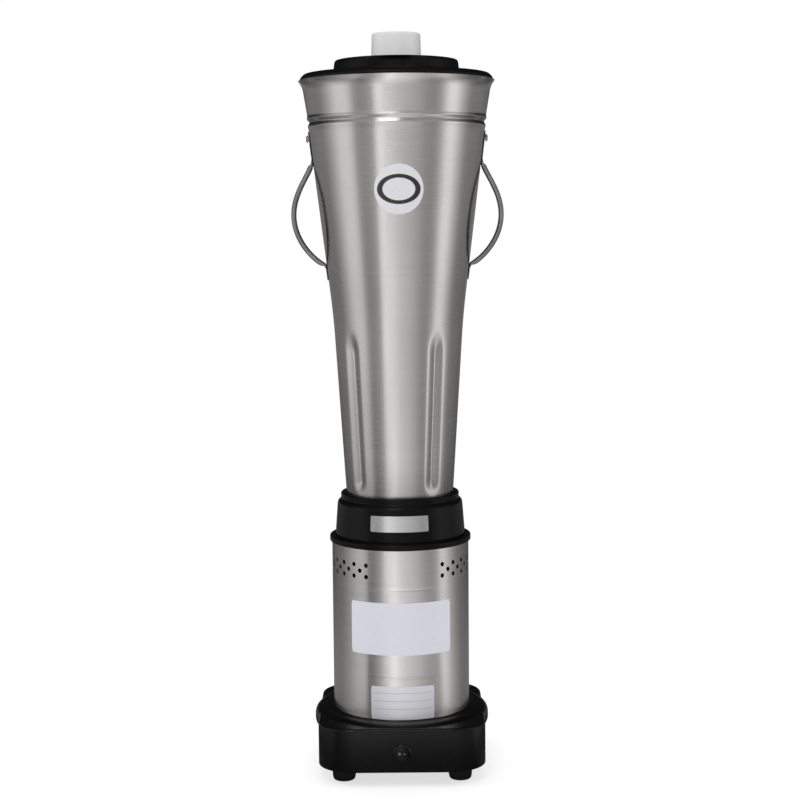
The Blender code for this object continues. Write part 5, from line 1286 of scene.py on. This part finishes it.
def make_gland():
    """Empty cable gland in the back wall."""
    line = rounded_line([(3.8 * MM, 9.0 * MM, 0.4 * MM), (5.3 * MM, 9.0 * MM, 0.6 * MM),
        (6.5 * MM, 4.2 * MM, 0.8 * MM), (8.3 * MM, 2.8 * MM, 0.6 * MM), (8.5 * MM, 0.3 * MM),
        (6.5 * MM, 0.3 * MM), (6.5 * MM, -7.7 * MM), (3.8 * MM, -7.7 * MM)], 5, closed=True)
    mesh = turned_mesh("cable_gland", line, 64)
    shifted(mesh, stood((0.0, BASE_DEPTH / 2, GLAND_HEIGHT), -math.pi / 2))
    add_piece("cable_gland", smooth(mesh), "base_unit", "foot_rubber", ("cord_gland",))


# Studio

# Soft bands that the steel mirrors: degrees round the axis from the front, and brightness
BANDS = ((-180, 0.20), (-160, 0.22), (-146, 0.28), (-132, 0.38), (-114, 0.46), (-98, 0.68),
         (-82, 0.98), (-70, 1.04), (-62, 0.86), (-56, 0.46), (-48, 0.38), (-37, 0.44),
         (-31, 0.56), (-26, 1.24), (-20, 1.30), (-15, 0.94), (-9, 0.80), (0, 0.70), (10, 0.61),
         (20, 0.56), (31, 0.48), (40, 0.38), (50, 0.35), (58, 0.50), (64, 0.84), (71, 1.22),
         (80, 1.20), (90, 0.84), (104, 0.50), (128, 0.38), (146, 0.24), (180, 0.20))
NEAR_BANDS = ((-180, 0.16), (-150, 0.18), (-130, 0.22), (-112, 0.24), (-98, 0.32), (-85, 0.42),
              (-72, 0.58), (-60, 0.62), (-56, 0.56), (-53, 0.20), (-45, 0.26), (-38, 0.42),
              (-30, 0.68), (-22, 0.90), (-16, 1.22), (-11, 1.50), (-4, 1.30), (3, 1.12),
              (16, 0.96), (28, 0.84), (40, 0.64), (52, 0.52), (61, 0.50), (65, 0.64),
              (70, 0.98), (78, 0.90), (88, 0.58), (100, 0.38), (113, 0.24), (126, 0.20),
              (150, 0.18), (180, 0.16))


def bands(graph, x, y, levels):
    """Brightness of the studio round the axis, by degrees from the front."""
    turn = graph.from_front(x, y) / math.tau
    stops = [(degrees / 360 + 0.5, grey(level)) for degrees, level in levels]
    return graph.node("ShaderNodeValToRGB", {"stops": stops}, {"Fac": turn + 0.5})


def make_world():
    """White backdrop for the camera, soft bands for what mirrors it, plain light for the rest."""
    world = bpy.data.worlds.new("studio")
    bpy.context.scene.world = world
    world.use_nodes = True
    world.cycles.sampling_method = 'NONE'
    world.node_tree.nodes.clear()
    graph = Graph(world.node_tree)
    x, y, z = graph.place("Generated")
    rays, mirrored = graph.ray_kinds()
    aside = graph.math("ABSOLUTE", graph.from_front(x, y))
    # Behind the machine the mirrored room goes dark as soon as a ray points up.
    behind = graph.ease_angle(aside, 80, 130)
    low = bands(graph, x, y, BANDS)
    low = graph.blend(behind * graph.ease(z, 0.0, 0.06), low, grey(0.02))
    # Low down it is darker too, from the sides round to the back.
    low = graph.blend(graph.ease_angle(aside, 78, 118) * graph.ease(z, -0.14, -0.08, 0.75, 0.0),
                      low, grey(0.02))
    front = graph.ease_angle(aside, 70, 120, 0.4, 0.02)
    off_lamp = graph.math("ABSOLUTE", graph.from_front(x, y) + math.radians(14))
    lamp = (graph.ease_angle(off_lamp, 6, 24, 4.6, 0.0)
            * graph.ease(graph.math("ABSOLUTE", z - 0.72), 0.08, 0.16, 1.0, 0.0))
    high = graph.join(front + lamp, front + lamp, front + lamp)
    around = graph.blend(graph.ease(z, 0.16, 0.42), low, high)
    seen = graph.blend(mirrored, grey(0.72), around)
    shown = graph.blend(rays, seen, grey(1.0))
    light = graph.node("ShaderNodeBackground", {}, {"Color": shown})
    graph.node("ShaderNodeOutputWorld", {}, {"Surface": light})


def make_floor():
    """Pale floor that keeps the shadow and fades into the backdrop."""
    mesh = turned_mesh("floor", [(2.0, 0.0), (0.0, 0.0)], 128, closed=False)
    floor = linked("floor", mesh)
    material = bpy.data.materials.new("floor")
    material.use_nodes = True
    material.node_tree.nodes.clear()
    graph = Graph(material.node_tree)
    x, y, z = graph.place()
    rays, mirrored = graph.ray_kinds()
    away = graph.math("SQRT", x * x + y * y)
    # What the housing mirrors lies nearer than what the jar mirrors.
    around = graph.blend(graph.ease(away, 1.4, 2.0), bands(graph, x, y, NEAR_BANDS),
                         bands(graph, x, y, BANDS))
    aside = graph.math("ABSOLUTE", graph.from_front(x, y))
    dip = graph.ease(away, 0.9, 1.2) * graph.ease(away, 1.7, 2.0, 1.0, 0.0)
    sides = (graph.ease_angle(aside, 12, 45)
             * graph.ease(away, 1.3, 1.75, 0.62, 0.34))
    level = (graph.ease(away, 0.2, 0.38, 0.12) * graph.ease(away, 0.4, 1.1, 1.14, 0.82)
             * graph.ease(away, 1.6, 2.0, 1.0, 1.2) * (1.0 - dip * sides))
    dimmed = graph.node("ShaderNodeVectorMath", {"operation": 'SCALE'},
        {0: around, "Scale": level})
    glow = graph.node("ShaderNodeEmission", {}, {
        "Color": graph.blend(mirrored, grey(1.0), dimmed)})
    dim = graph.node("ShaderNodeEmission", {}, {"Color": grey(0.68)})
    cloth = graph.node("ShaderNodeBsdfDiffuse", {}, {"Color": grey(0.36)})
    lit = graph.node("ShaderNodeAddShader", {}, {0: dim, 1: cloth})
    share = graph.math("MAXIMUM", graph.ease(away, 0.25, 0.6), mirrored)
    mixed = graph.node("ShaderNodeMixShader", {}, {0: share, 1: lit, 2: glow})
    graph.node("ShaderNodeOutputMaterial", {}, {"Surface": mixed})
    mesh.materials.append(material)


def add_lamp(name, degrees, height, distance, size, power):
    """A soft rectangular lamp that looks at the middle of the blender."""
    lamp = bpy.data.lights.new(name, 'AREA')
    lamp.shape = 'RECTANGLE'
    lamp.size, lamp.size_y = size
    lamp.energy = power
    obj = linked(name, lamp)
    turn = math.radians(degrees)
    place = Vector((distance * math.sin(turn), -distance * math.cos(turn), height))
    obj.location = place
    obj.rotation_euler = (Vector((0.0, 0.0, 0.42)) - place).to_track_quat('-Z', 'Y').to_euler()
    obj.visible_glossy = False


def make_camera():
    """The photograph's viewpoint."""
    camera = bpy.data.cameras.new("camera")
    camera.lens = CAMERA_LENS
    camera.sensor_width = 36.0
    obj = linked("camera", camera)
    turn = (Matrix.Rotation(math.radians(90.0 - CAMERA_PITCH), 4, 'X')
            @ Matrix.Rotation(math.radians(-CAMERA_ROLL), 4, 'Z'))
    obj.matrix_world = Matrix.Translation((CAMERA_OFFSET, -CAMERA_DISTANCE, CAMERA_HEIGHT)) @ turn
    bpy.context.scene.camera = obj


for finish, names in CAD_FINISH.items():
    for name in names:
        nodes[name].data.materials.clear()
        nodes[name].data.materials.append(MATERIALS[finish])

for make in (make_camera, make_jar, make_jar_sticker, make_handles, make_ring_nut, make_blade,
             make_lid, make_cap, make_collar, make_housing, make_plates, make_base,
             make_underside, make_switch, make_gland, make_world, make_floor):
    make()
add_lamp("key", -8.0, 1.75, 1.35, (0.8, 0.35), 9.0)
add_lamp("left_fill", -75.0, 1.5, 1.6, (0.5, 0.8), 8.0)
add_lamp("right_fill", 70.0, 1.5, 1.6, (0.5, 0.8), 6.0)
add_lamp("back", 180.0, 1.7, 1.5, (0.9, 0.4), 9.0)
bpy.context.scene.view_settings.view_transform = 'Standard'
